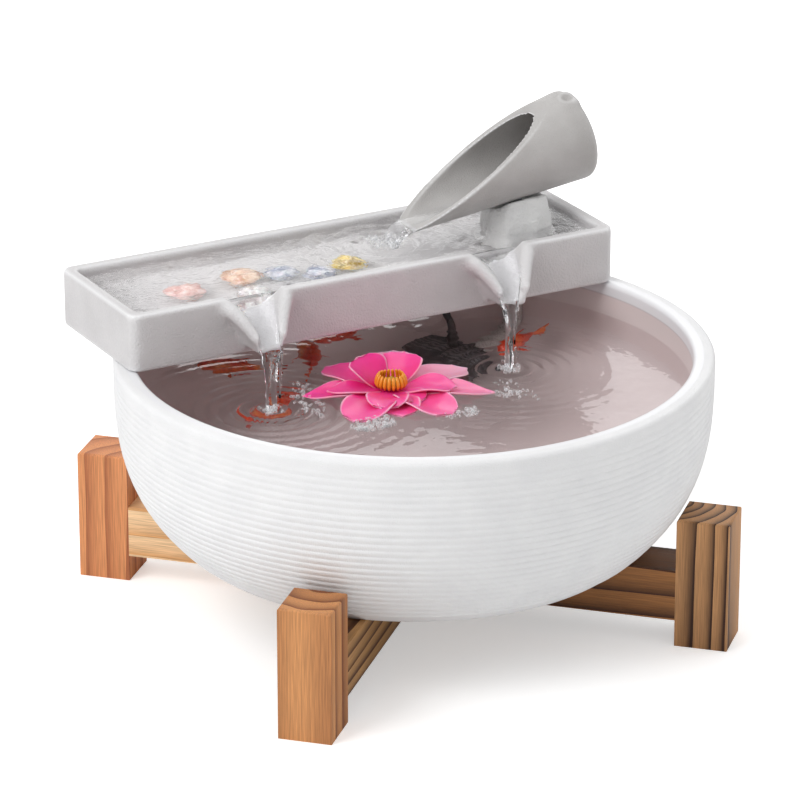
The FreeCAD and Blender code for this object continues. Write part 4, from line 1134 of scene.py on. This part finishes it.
@dataclass
class Lotus:
    """The floating foam lotus."""

    x: float = -21.0
    y: float = -8.0
    root: float = 7.0
    outer: Sequence[Petal] = (
        Petal(160, 57, 27, 0, Tip.POINTED, 0.15, 1.6, 1.0), Petal(111, 56, 32, 3, Tip.ROUND, 0.35),
        Petal(60, 62, 31, 4, Tip.ROUND, 0.75), Petal(9, 62, 29, 1, Tip.ROUND, 0.80),
        Petal(-29, 66, 27, 0, Tip.POINTED, 0.60, 1.6, 1.2), Petal(-74, 56, 32, 0, Tip.ROUND, 0.45, 1.6, 1.0),
        Petal(-109, 44, 28, 0, Tip.ROUND, 0.4, 1.4, 0.6), Petal(-143, 57, 33, 0, Tip.ROUND, 0.30, 1.6, 1.0),
    )
    inner: Sequence[Petal] = (
        Petal(115, 31, 33, 30, Tip.ROUND, 0.0, 2.6), Petal(45, 34, 29, 24, Tip.ROUND, 0.15, 2.6),
        Petal(-33, 42, 30, 5, Tip.ROUND, 0.35, 2.8, 1.0), Petal(-124, 38, 27, 5, Tip.ROUND, 0.2, 2.8, 2.5),
        Petal(167, 42, 22, 4, Tip.POINTED, 0.15, 2.6), Petal(-80, 30, 22, 4, Tip.ROUND, 0.3, 2.4, 1.6),
    )
    stamens: int = 20
    stamen_shape: Sequence[Point] = (
        (0, 8.8, 0.8), (0.3, 9.6, 1.15), (0.65, 8.8, 1.15), (0.9, 7.8, 0.95), (1.0, 7.4, 0.4))

    def petal(self, bm: BMesh, look: Petal) -> None:
        """Adds one petal, cupped and with a slightly curled rim.

        Args:
            bm: the mesh to add to.
            look: the petal's measures.
        """
        tone, span, edge = (bm.verts.layers.float.get(name) or bm.verts.layers.float.new(name)
                            for name in ("tone", "along", "edge"))
        made = bmesh.ops.create_grid(bm, x_segments=15, y_segments=9, size=0.5)["verts"]
        rise = math.radians(look.rise)
        turn = Matrix.Rotation(math.radians(look.heading), 3, "Z")
        blunt = 0.05 if look.tip is Tip.ROUND else 0
        for vert in made:
            u, v = vert.co.x + 0.5, vert.co.y * 2
            wide = look.width_at(u)
            reach = u - blunt * v * v * u
            x = self.root + look.length * reach * math.cos(rise) - self.root * u
            y = v * wide * look.width / 2
            cup = 0.15 * look.width * v * v * wide * math.sin(math.pi * min(u, 0.9))
            z = look.root_z + look.length * u * math.sin(rise) + cup - look.droop * u ** 3
            z += 0.5 * wobble(u * 30, v * 12, look.heading, 9.0)
            spot = turn @ Vector((x, y, 0))
            vert.co = mm(self.x + spot.x, self.y + spot.y, WATER_Z + z)
            vert[tone], vert[span], vert[edge] = look.tone, u, abs(v)

    def ring(self, name: str, petals: Sequence[Petal]) -> Piece:
        """A ring of petals with a hub disc, as one piece with thickness."""
        bm = bmesh.new()
        for look in petals:
            self.petal(bm, look)
        hub = Matrix.Translation(mm(self.x, self.y, WATER_Z + petals[0].root_z - 0.2))
        bmesh.ops.create_circle(bm, cap_ends=True, segments=32, radius=9 * MM, matrix=hub)
        bmesh.ops.recalc_face_normals(bm, faces=bm.faces)
        bmesh.ops.reverse_faces(bm, faces=[face for face in bm.faces if face.normal.z < 0])
        piece = as_piece(bm, name, smooth=False)
        thick = piece.modifiers.new("foam", "SOLIDIFY")
        thick.thickness = 1.3 * MM
        thick.offset = -1
        round_off = piece.modifiers.new("round", "SUBSURF")
        round_off.levels = round_off.render_levels = 1
        return freeze(piece)

    def crown(self) -> Piece:
        """The ring of yellow stamens round the middle."""
        bm = bmesh.new()
        for index in range(self.stamens):
            turn = index * math.tau / self.stamens
            tall = 8.2 + 0.8 * wobble(index * 7.0, 3.0, 1.0, 3.0)
            out = Vector((math.cos(turn), math.sin(turn), 0))
            tube(bm, [(mm(self.x, self.y, WATER_Z + 4.6 + share * tall) + out * reach * MM, size * MM)
                      for share, reach, size in self.stamen_shape], 8)
        return as_piece(bm, "stamen_crown")

    def heart(self) -> Piece:
        """The domed seed head inside the stamens, with its ring of seeds."""
        outline = [(0, 3.6), (5.6, 3.6), (6.0, 5.4), (6.2, 7.0), (5.4, 8.2), (3.2, 8.8), (0, 9.0)]
        bm = lathe(outline, 28, mm(self.x, self.y, WATER_Z))
        for index in range(7):
            turn = index * math.tau / 6
            reach = 0.0 if index == 6 else 3.6
            x, y = self.x + reach * math.cos(turn), self.y + reach * math.sin(turn)
            add_ball(bm, mm(x, y, WATER_Z + 8.7), mm(1.0, 1.0, 0.8), 2)
        return as_piece(bm, "seed_head")

    def foam(self) -> Surface:
        """Dyed foam sheet: deep at the root, paler out and nearly white at the rim."""
        made = Material("petal_foam", Roughness=0.32, Coat_Weight=0.35, Coat_Roughness=0.12,
                        Subsurface_Weight=0.35, Subsurface_Scale=0.003)
        nodes = made.nodes
        tone, along, edge = (nodes.attribute(name) for name in ("tone", "along", "edge"))
        streaks = nodes.noise(made.place, 5.0, 4)
        deep = nodes.steps(tone, ((0.0, (0.74, 0.003, 0.17)), (0.4, (0.95, 0.04, 0.28)),
                                  (0.8, (0.95, 0.25, 0.45))))
        pale = nodes.steps(tone, ((0.0, (0.90, 0.015, 0.30)), (0.4, (0.98, 0.10, 0.36)),
                                  (0.8, (0.95, 0.46, 0.60))))
        amount = nodes.span(nodes.math("ADD", along, nodes.math("MULTIPLY", streaks, 0.5)), 0.35, 1.25)
        colour = nodes.mix(amount, deep, pale)
        rim = nodes.math("MAXIMUM", nodes.span(edge, 0.9, 1.0), nodes.span(along, 0.95, 1.0))
        made.feed("Base Color", nodes.mix(nodes.math("MULTIPLY", rim, 0.5), colour, (0.96, 0.70, 0.80)))
        made.bump(nodes.noise(made.place, 1.2, 2), 0.08)
        return made.material

    def dress(self) -> None:
        """Builds, dresses and places the flower."""
        foam = self.foam()
        place(self.ring("outer_petals", self.outer), foam, "lotus", "foam_petal", "lotus_outer_petals")
        place(self.ring("inner_petals", self.inner), foam, "lotus", "foam_petal", "lotus_inner_petals")
        yellow = SkinFinish("stamen_yellow", (0.90, 0.42, 0.015), (0.86, 0.24, 0.008), 0.35, grain=1.5,
                            coat=0.4)
        place(self.crown(), yellow.build(), "lotus", "foam_yellow", "lotus_stamens")
        seed = SkinFinish("seed_ochre", (0.62, 0.30, 0.03), (0.40, 0.30, 0.04))
        place(self.heart(), seed.build(), "lotus", "foam_yellow", "lotus_seed_head")
        green = SkinFinish("pad_green", (0.10, 0.26, 0.09), (0.06, 0.18, 0.06), grain=1.2)
        dress_nodes(green.build(), "lotus_float")


# ------------------------------------------------------------------ goldfish
@dataclass(frozen=True)
class Fish:
    """One goldfish: its middle in millimetres, its heading in degrees and its length."""

    x: float
    y: float
    depth: float
    heading: float
    length: float
    bend: float = 0.12


@dataclass
class Shoal:
    """The goldfish in the bowl."""

    fish: Sequence[Fish] = (
        Fish(-70, 118, 41, 150, 58), Fish(-70, 57, 47, 20, 62, -0.15), Fish(-12, 118, 49, 75, 60),
        Fish(20, 132, 31, 200, 72, -0.1), Fish(106, 57, 29, 215, 52),
    )
    fins: Sequence[tuple[Point, Point, Point, float]] = (
        ((-0.36, 0, 0), (-0.26, 0, 0.17), (-0.20, 0, -0.17), 0.9),
        ((0.10, 0, 0.17), (-0.30, 0, 0.12), (-0.26, 0, -0.02), 0.6),
        ((0.10, 0.10, -0.08), (-0.12, 0.12, -0.06), (-0.14, 0.06, 0.02), 0.5),
        ((0.10, -0.10, -0.08), (-0.12, -0.12, -0.06), (-0.14, -0.06, 0.02), 0.5),
    )

    def build(self, number: int, look: Fish) -> Piece:
        """A goldfish: a deep body that narrows to a fanned tail, with its fins and eyes."""
        bm = bmesh.new()
        long = look.length
        body = bmesh.ops.create_uvsphere(bm, u_segments=24, v_segments=18, radius=1,
                                         matrix=Matrix.Rotation(math.pi / 2, 4, "Y"))["verts"]
        for vert in body:
            t = vert.co.x
            slim = 1 - 0.72 * max(-t, 0) ** 1.3
            vert.co = Vector((t * 0.40, vert.co.y * 0.13 * slim, vert.co.z * 0.19 * slim)) * long
        for root, upper, lower, fork in self.fins:
            self.fin(bm, Vector(root), Vector(upper), Vector(lower), long, fork)
        for side in (-1, 1):
            add_ball(bm, Vector((0.29, side * 0.085, 0.045)) * long, Vector((1, 0.6, 1)) * 0.028 * long, 2)
        turn = Matrix.Rotation(math.radians(look.heading), 3, "Z")
        for vert in bm.verts:
            lag = min(vert.co.x / long, 0.1) - 0.1
            vert.co.y += look.bend * long * lag * lag * 3
            vert.co = turn @ (vert.co * MM) + mm(look.x, look.y, WATER_Z - look.depth)
        return as_piece(bm, f"goldfish_{number}")

    def fin(self, bm: BMesh, root: Vector, upper: Vector, lower: Vector, long: float,
            fork: float) -> None:
        """Adds a thin fin between two rays.

        Args:
            bm: the mesh to add to.
            root: where it starts, as shares of the fish's length.
            upper: its first ray.
            lower: its last ray.
            long: the fish's length in millimetres.
            fork: the middle's reach over the rays'.
        """
        made = bmesh.ops.create_grid(bm, x_segments=6, y_segments=8, size=0.5)
        for vert in made["verts"]:
            u, v = vert.co.x + 0.5, vert.co.y + 0.5
            ray = upper.lerp(lower, v)
            reach = u * (fork + (1 - fork) * abs(2 * v - 1))
            wave = 0.012 * math.sin(v * 14) * u
            vert.co = (root + ray * (0.05 + reach) + Vector((0, wave, 0))) * long
        faces = list({face for vert in made["verts"] for face in vert.link_faces})
        bmesh.ops.solidify(bm, geom=faces, thickness=0.8)

    def scales(self) -> Surface:
        """Red-orange scales, with paler patches below."""
        made = Material("goldfish_scales", Roughness=0.35, Coat_Weight=0.3, Coat_Roughness=0.1)
        nodes = made.nodes
        patch = nodes.noise(made.place, 22.0, 3)
        scale = nodes.add("TexVoronoi", {"Vector": made.place, "Scale": 420.0}).outputs["Distance"]
        colour = nodes.steps(patch, ((0.3, (0.75, 0.03, 0.006)), (0.5, (0.90, 0.08, 0.01)),
                                     (0.62, (0.95, 0.24, 0.03)), (0.72, (0.97, 0.74, 0.58))))
        made.feed("Base Color", nodes.shade(colour, nodes.span(scale, 0.0, 0.8, 1.1, 0.75)))
        made.bump(scale, 0.2)
        return made.material

    def dress(self) -> None:
        """Builds, dresses and places every fish."""
        scales = self.scales()
        for number, look in enumerate(self.fish, 1):
            place(self.build(number, look), scales, "bowl", "fish_skin", "goldfish")


# ------------------------------------------------------------------ pump
@dataclass
class Pump:
    """The submersible pump, dressed where the frame has it, and the ribs on its top, in millimetres."""

    middle: Point = (69.98, 82.27, 71.5)
    turn: float = 20.0
    top: float = 34.0
    spacing: float = 4.2
    finishes: dict = field(default_factory=lambda: {
        SkinFinish("pump_charcoal", (0.035, 0.036, 0.04), (0.05, 0.051, 0.054), 0.34, 0.1, 0.7, 0.05):
            ("motor_housing", "strainer_cover", "flow_dial", "base_plate", "impeller_chamber"),
        SkinFinish("black_rubber", (0.018, 0.018, 0.018), (0.028, 0.028, 0.027), 0.62, grain=0.8):
            ("suction_feet", "rear_bush", "front_bush", "chamber_seal", "riser_grommet", "cord_relief"),
        SkinFinish("potting_resin", (0.02, 0.02, 0.022), (0.03, 0.03, 0.03), 0.2, coat=0.5):
            ("potting_resin",),
        SkinFinish("laminations", (0.30, 0.30, 0.32), (0.22, 0.22, 0.24), 0.45, grain=0.4, metallic=0.9):
            ("stator_core",),
        SkinFinish("nylon", (0.82, 0.79, 0.70), (0.76, 0.72, 0.62), 0.45): ("coil_bobbin",),
        SkinFinish("enamelled_copper", (0.72, 0.30, 0.12), (0.55, 0.20, 0.08), 0.3, grain=0.3, metallic=0.9):
            ("coil_winding",),
        SkinFinish("shaft_ceramic", (0.9, 0.9, 0.88), (0.85, 0.85, 0.83), 0.12, coat=0.5): ("rotor_shaft",),
        SkinFinish("ferrite", (0.09, 0.09, 0.10), (0.06, 0.06, 0.07), metallic=0.4): ("rotor_magnet",),
        SkinFinish("impeller_white", (0.84, 0.84, 0.82), (0.78, 0.78, 0.76), 0.3): ("impeller",),
        SkinFinish("silicone_hose", (0.80, 0.80, 0.77), (0.74, 0.74, 0.70), 0.3, transmission=0.35):
            ("hose",),
        SkinFinish("clear_riser", (0.88, 0.90, 0.90), (0.82, 0.85, 0.86), 0.1, transmission=0.7):
            ("riser_tube",),
    })

    def ribs(self, name: str, near: float, far: float) -> Piece:
        """The rounded ribs along one half of the pump's top.

        Args:
            name: the piece's name.
            near: where they start along the pump.
            far: where they end.

        Returns:
            The piece.
        """
        bm = bmesh.new()
        turned = Matrix.Translation(mm(*self.middle)) @ Matrix.Rotation(math.radians(self.turn), 4, "Z")
        for index in range(-3, 4):
            long = far - near - 1.2 * abs(index) ** 1.5
            drop = 0.2 + 0.12 * index * index
            spot = Matrix.Translation(mm(index * self.spacing, (near + far) / 2, self.top - drop))
            size = Matrix.Diagonal((*mm(2.3, long, 2.4), 1))
            bmesh.ops.create_cube(bm, size=1, matrix=turned @ spot @ size)
        bmesh.ops.bevel(bm, geom=list(bm.edges), offset=0.8 * MM, segments=2, profile=0.5,
                        affect="EDGES", material=-1)
        return as_piece(bm, name)

    def dress(self) -> None:
        """Gives the pump's parts their finishes."""
        for finish, nodes in self.finishes.items():
            dress_nodes(finish.build(), *nodes)
        # Painted highlight: the ribs' grey, far paler than the charcoal housing they are moulded with, stands
        # for the gloss along their tops.
        rib_highlight = SkinFinish("rib_gloss", (0.20, 0.20, 0.205), (0.14, 0.14, 0.145), 0.22, 0.1, 0.7, 0.05)
        rib_highlight = rib_highlight.build()
        place(self.ribs("motor_ribs", near=2.5, far=27.5), rib_highlight, "bowl", "pump_plastic")
        place(self.ribs("strainer_ribs", near=-23.5, far=-2.5), rib_highlight, "strainer", "pump_plastic")
        LOG.info("pump dressed")


# ------------------------------------------------------------------ cord
@dataclass
class Cord:
    """The pump's power cord, its coil and its plug."""

    radius: float = 2.6
    rise: float = 25.0
    route: Sequence[Point] = (
        (72.5, 104.7, 168.0), (63.8, 127.0, 167.0), (55.0, 149.0, 165.5), (47.0, 168.5, 186.5),
        (41.0, 193.0, 188.5), (37.0, 211.5, 172.0), (34.5, 219.5, 145.0), (33.5, 221.5, 111.0),
        (33.5, 222.5, 75.0), (37.0, 224.0, 43.0), (50.0, 226.0, 17.5), (72.0, 227.5, 2.6),
    )
    coil: tuple[float, float] = (97.0, 196.9)
    lead: Sequence[Point] = ((114.0, 228.6, 13.2), (126.0, 226.0, 10.0), (138.0, 223.0, 7.5))
    turn_step: float = 20.0
    outer: float = 31.1
    inner: float = 25.9

    def coil_points(self) -> list[Vector]:
        """The coil's turns: each lies beside or on the last, and steps over before it meets it."""
        outer, inner, level = self.outer, self.inner, 2 * self.radius
        keys = ((0, outer, 0), (270, outer, 0), (320, inner, 0), (575, inner, 0), (625, inner, 1),
                (880, inner, 1), (930, outer, 1), (1185, outer, 1), (1235, outer, 2), (1440, outer, 2))
        points = []
        turn = 0.0
        pull = math.cos(math.radians(self.turn_step / 2))
        while turn <= keys[-1][0]:
            for (start, from_r, from_l), (end, to_r, to_l) in zip(keys, keys[1:]):
                if start <= turn <= end:
                    share = (turn - start) / (end - start)
                    reach = (from_r + (to_r - from_r) * share) / pull
                    height = self.radius + level * (from_l + (to_l - from_l) * share)
                    break
            heading = math.radians(90 - turn)
            points.append(mm(self.coil[0] + reach * math.cos(heading),
                             self.coil[1] + reach * math.sin(heading), height))
            turn += self.turn_step
        return points

    def build(self) -> tuple[Piece, Vector]:
        """The cord as one smooth curve.

        Returns:
            The cord, and the point where it leaves its relief.
        """
        low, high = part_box("cord_relief")
        middle = (low + high) / 2
        start = Vector((middle.x, middle.y, high.z))
        points = [start, start + mm(0, 0, self.rise)] + [mm(*point) for point in self.route]
        points += self.coil_points() + [mm(*point) for point in self.lead]
        curve = bpy.data.curves.new("pump_cord", "CURVE")
        curve.dimensions = "3D"
        curve.bevel_depth = self.radius * MM
        curve.bevel_resolution = 4
        curve.use_fill_caps = True
        spline = curve.splines.new("NURBS")
        spline.points.add(len(points) - 1)
        for point, at in zip(spline.points, points):
            point.co = (*at, 1)
        spline.order_u = 3
        spline.use_endpoint_u = True
        spline.resolution_u = 6
        return linked("pump_cord", curve), start

    def tie(self) -> Piece:
        """The band that holds the coil's turns together, on the side away from the bowl's middle."""
        bm = bmesh.new()
        tall = 6 * self.radius + 1.0
        inner, outer = 22.4, 34.6
        middle = Matrix.Translation(mm(self.coil[0] + (inner + outer) / 2, self.coil[1], tall / 2))
        size = Matrix.Diagonal((*mm(outer - inner, 9, tall), 1))
        bmesh.ops.create_cube(bm, size=1, matrix=middle @ size)
        across = [edge for edge in bm.edges if abs(edge.verts[0].co.y - edge.verts[1].co.y) > MM]
        bmesh.ops.bevel(bm, geom=across, offset=4.2 * MM, segments=5, profile=0.5, affect="EDGES",
                        material=-1)
        ends = [face for face in bm.faces if abs(face.normal.y) > 0.9]
        bmesh.ops.delete(bm, geom=ends, context="FACES_ONLY")
        bmesh.ops.recalc_face_normals(bm, faces=bm.faces)
        bmesh.ops.solidify(bm, geom=list(bm.faces), thickness=0.7 * MM)
        return as_piece(bm, "cord_tie")

    def dress(self) -> None:
        """Builds, dresses and places the cord; its plug keeps its CAD shape."""
        sheath = SkinFinish("cord_sheath", (0.02, 0.02, 0.021), (0.03, 0.03, 0.03), 0.42, grain=0.6,
                            depth=0.04)
        plug = SkinFinish("plug_moulding", (0.022, 0.022, 0.023), (0.03, 0.03, 0.03), grain=0.9)
        brass = SkinFinish("pin_brass", (0.80, 0.62, 0.28), (0.70, 0.52, 0.22), 0.25, metallic=1.0, grain=0.5)
        piece, start = self.build()
        place(piece, sheath.build(), "bowl", "cord_sheath", "power_cord", "cord_coil", "plug_lead")
        dress_nodes(plug.build(), "plug_body")
        dress_nodes(brass.build(), "plug_pins")
        band = SkinFinish("tie_band", (0.03, 0.03, 0.03), (0.045, 0.045, 0.045), 0.8, grain=1.2, depth=0.2)
        tie = place(self.tie(), band.build(), "bowl", "cord_sheath")


# ------------------------------------------------------------------ studio
@dataclass
class Studio:
    """The camera, the soft lights and the pale floor."""

    eye: Point = (-1.34215, -2.43436, 1.23945)
    look: Point = (0.44642, 0.81588, -0.36752)
    lens: float = 212.2
    aim: Point = (0, 0, 0.12)
    lights: Sequence[tuple[str, Point, float, float]] = (
        ("key", (-1.9, -0.3, 1.9), 1.3, 30), ("fill", (2.1, -0.9, 1.0), 1.5, 7),
        ("back", (1.15, 2.1, 1.5), 1.6, 11), ("top", (0.1, 0.4, 2.4), 1.2, 7),
    )

    def camera(self) -> None:
        """Adds the camera and makes it the scene's."""
        data = bpy.data.cameras.new("camera")
        data.lens = self.lens
        data.sensor_width = 36.0
        data.clip_end = 50.0
        camera = linked("camera", data)
        camera.location = self.eye
        camera.rotation_euler = Vector(self.look).to_track_quat("-Z", "Y").to_euler()
        bpy.context.scene.camera = camera

    def light(self, name: str, where: Vector, size: float, power: float) -> None:
        """Adds a soft square light that faces the aim.

        Args:
            name: its name.
            where: its place, in metres.
            size: its side, in metres.
            power: its power in watts.
        """
        data = bpy.data.lights.new(name, "AREA")
        data.size = size
        data.energy = power
        light = linked(name, data)
        light.location = where
        light.rotation_euler = (Vector(self.aim) - where).to_track_quat("-Z", "Y").to_euler()

    def build(self) -> None:
        """Sets up the whole studio."""
        self.camera()
        world = bpy.data.worlds.new("studio")
        world.use_nodes = True
        sky = world.node_tree.nodes["Background"].inputs
        sky["Color"].default_value = (1.0, 1.0, 1.0, 1)
        sky["Strength"].default_value = 0.58
        bpy.context.scene.world = world
        bpy.context.scene.view_settings.view_transform = "Standard"
        for name, where, size, power in self.lights:
            self.light(name, Vector(where), size, power)
        bm = bmesh.new()
        bmesh.ops.create_grid(bm, x_segments=2, y_segments=2, size=8.0)
        floor = as_piece(bm, "floor")
        pale = Material("pale_floor", Base_Color=(0.93, 0.93, 0.93, 1), Roughness=0.8,
                        Emission_Color=(1, 1, 1, 1))
        seen = pale.nodes.add("LightPath").outputs["Is Camera Ray"]
        pale.feed("Emission Strength", pale.nodes.math("MULTIPLY", seen, 0.4))
        dress(floor, pale.material)


def main() -> None:
    """Builds the whole scene in order."""
    logging.basicConfig(level=logging.INFO, format="%(name)s: %(message)s")
    Studio().build()
    for part in (Cord, Stand, Bowl, Tray, Spout, Stones, Pump, Shoal, Lotus, Pours):
        part().dress()


if __name__ == "__main__":
    main()
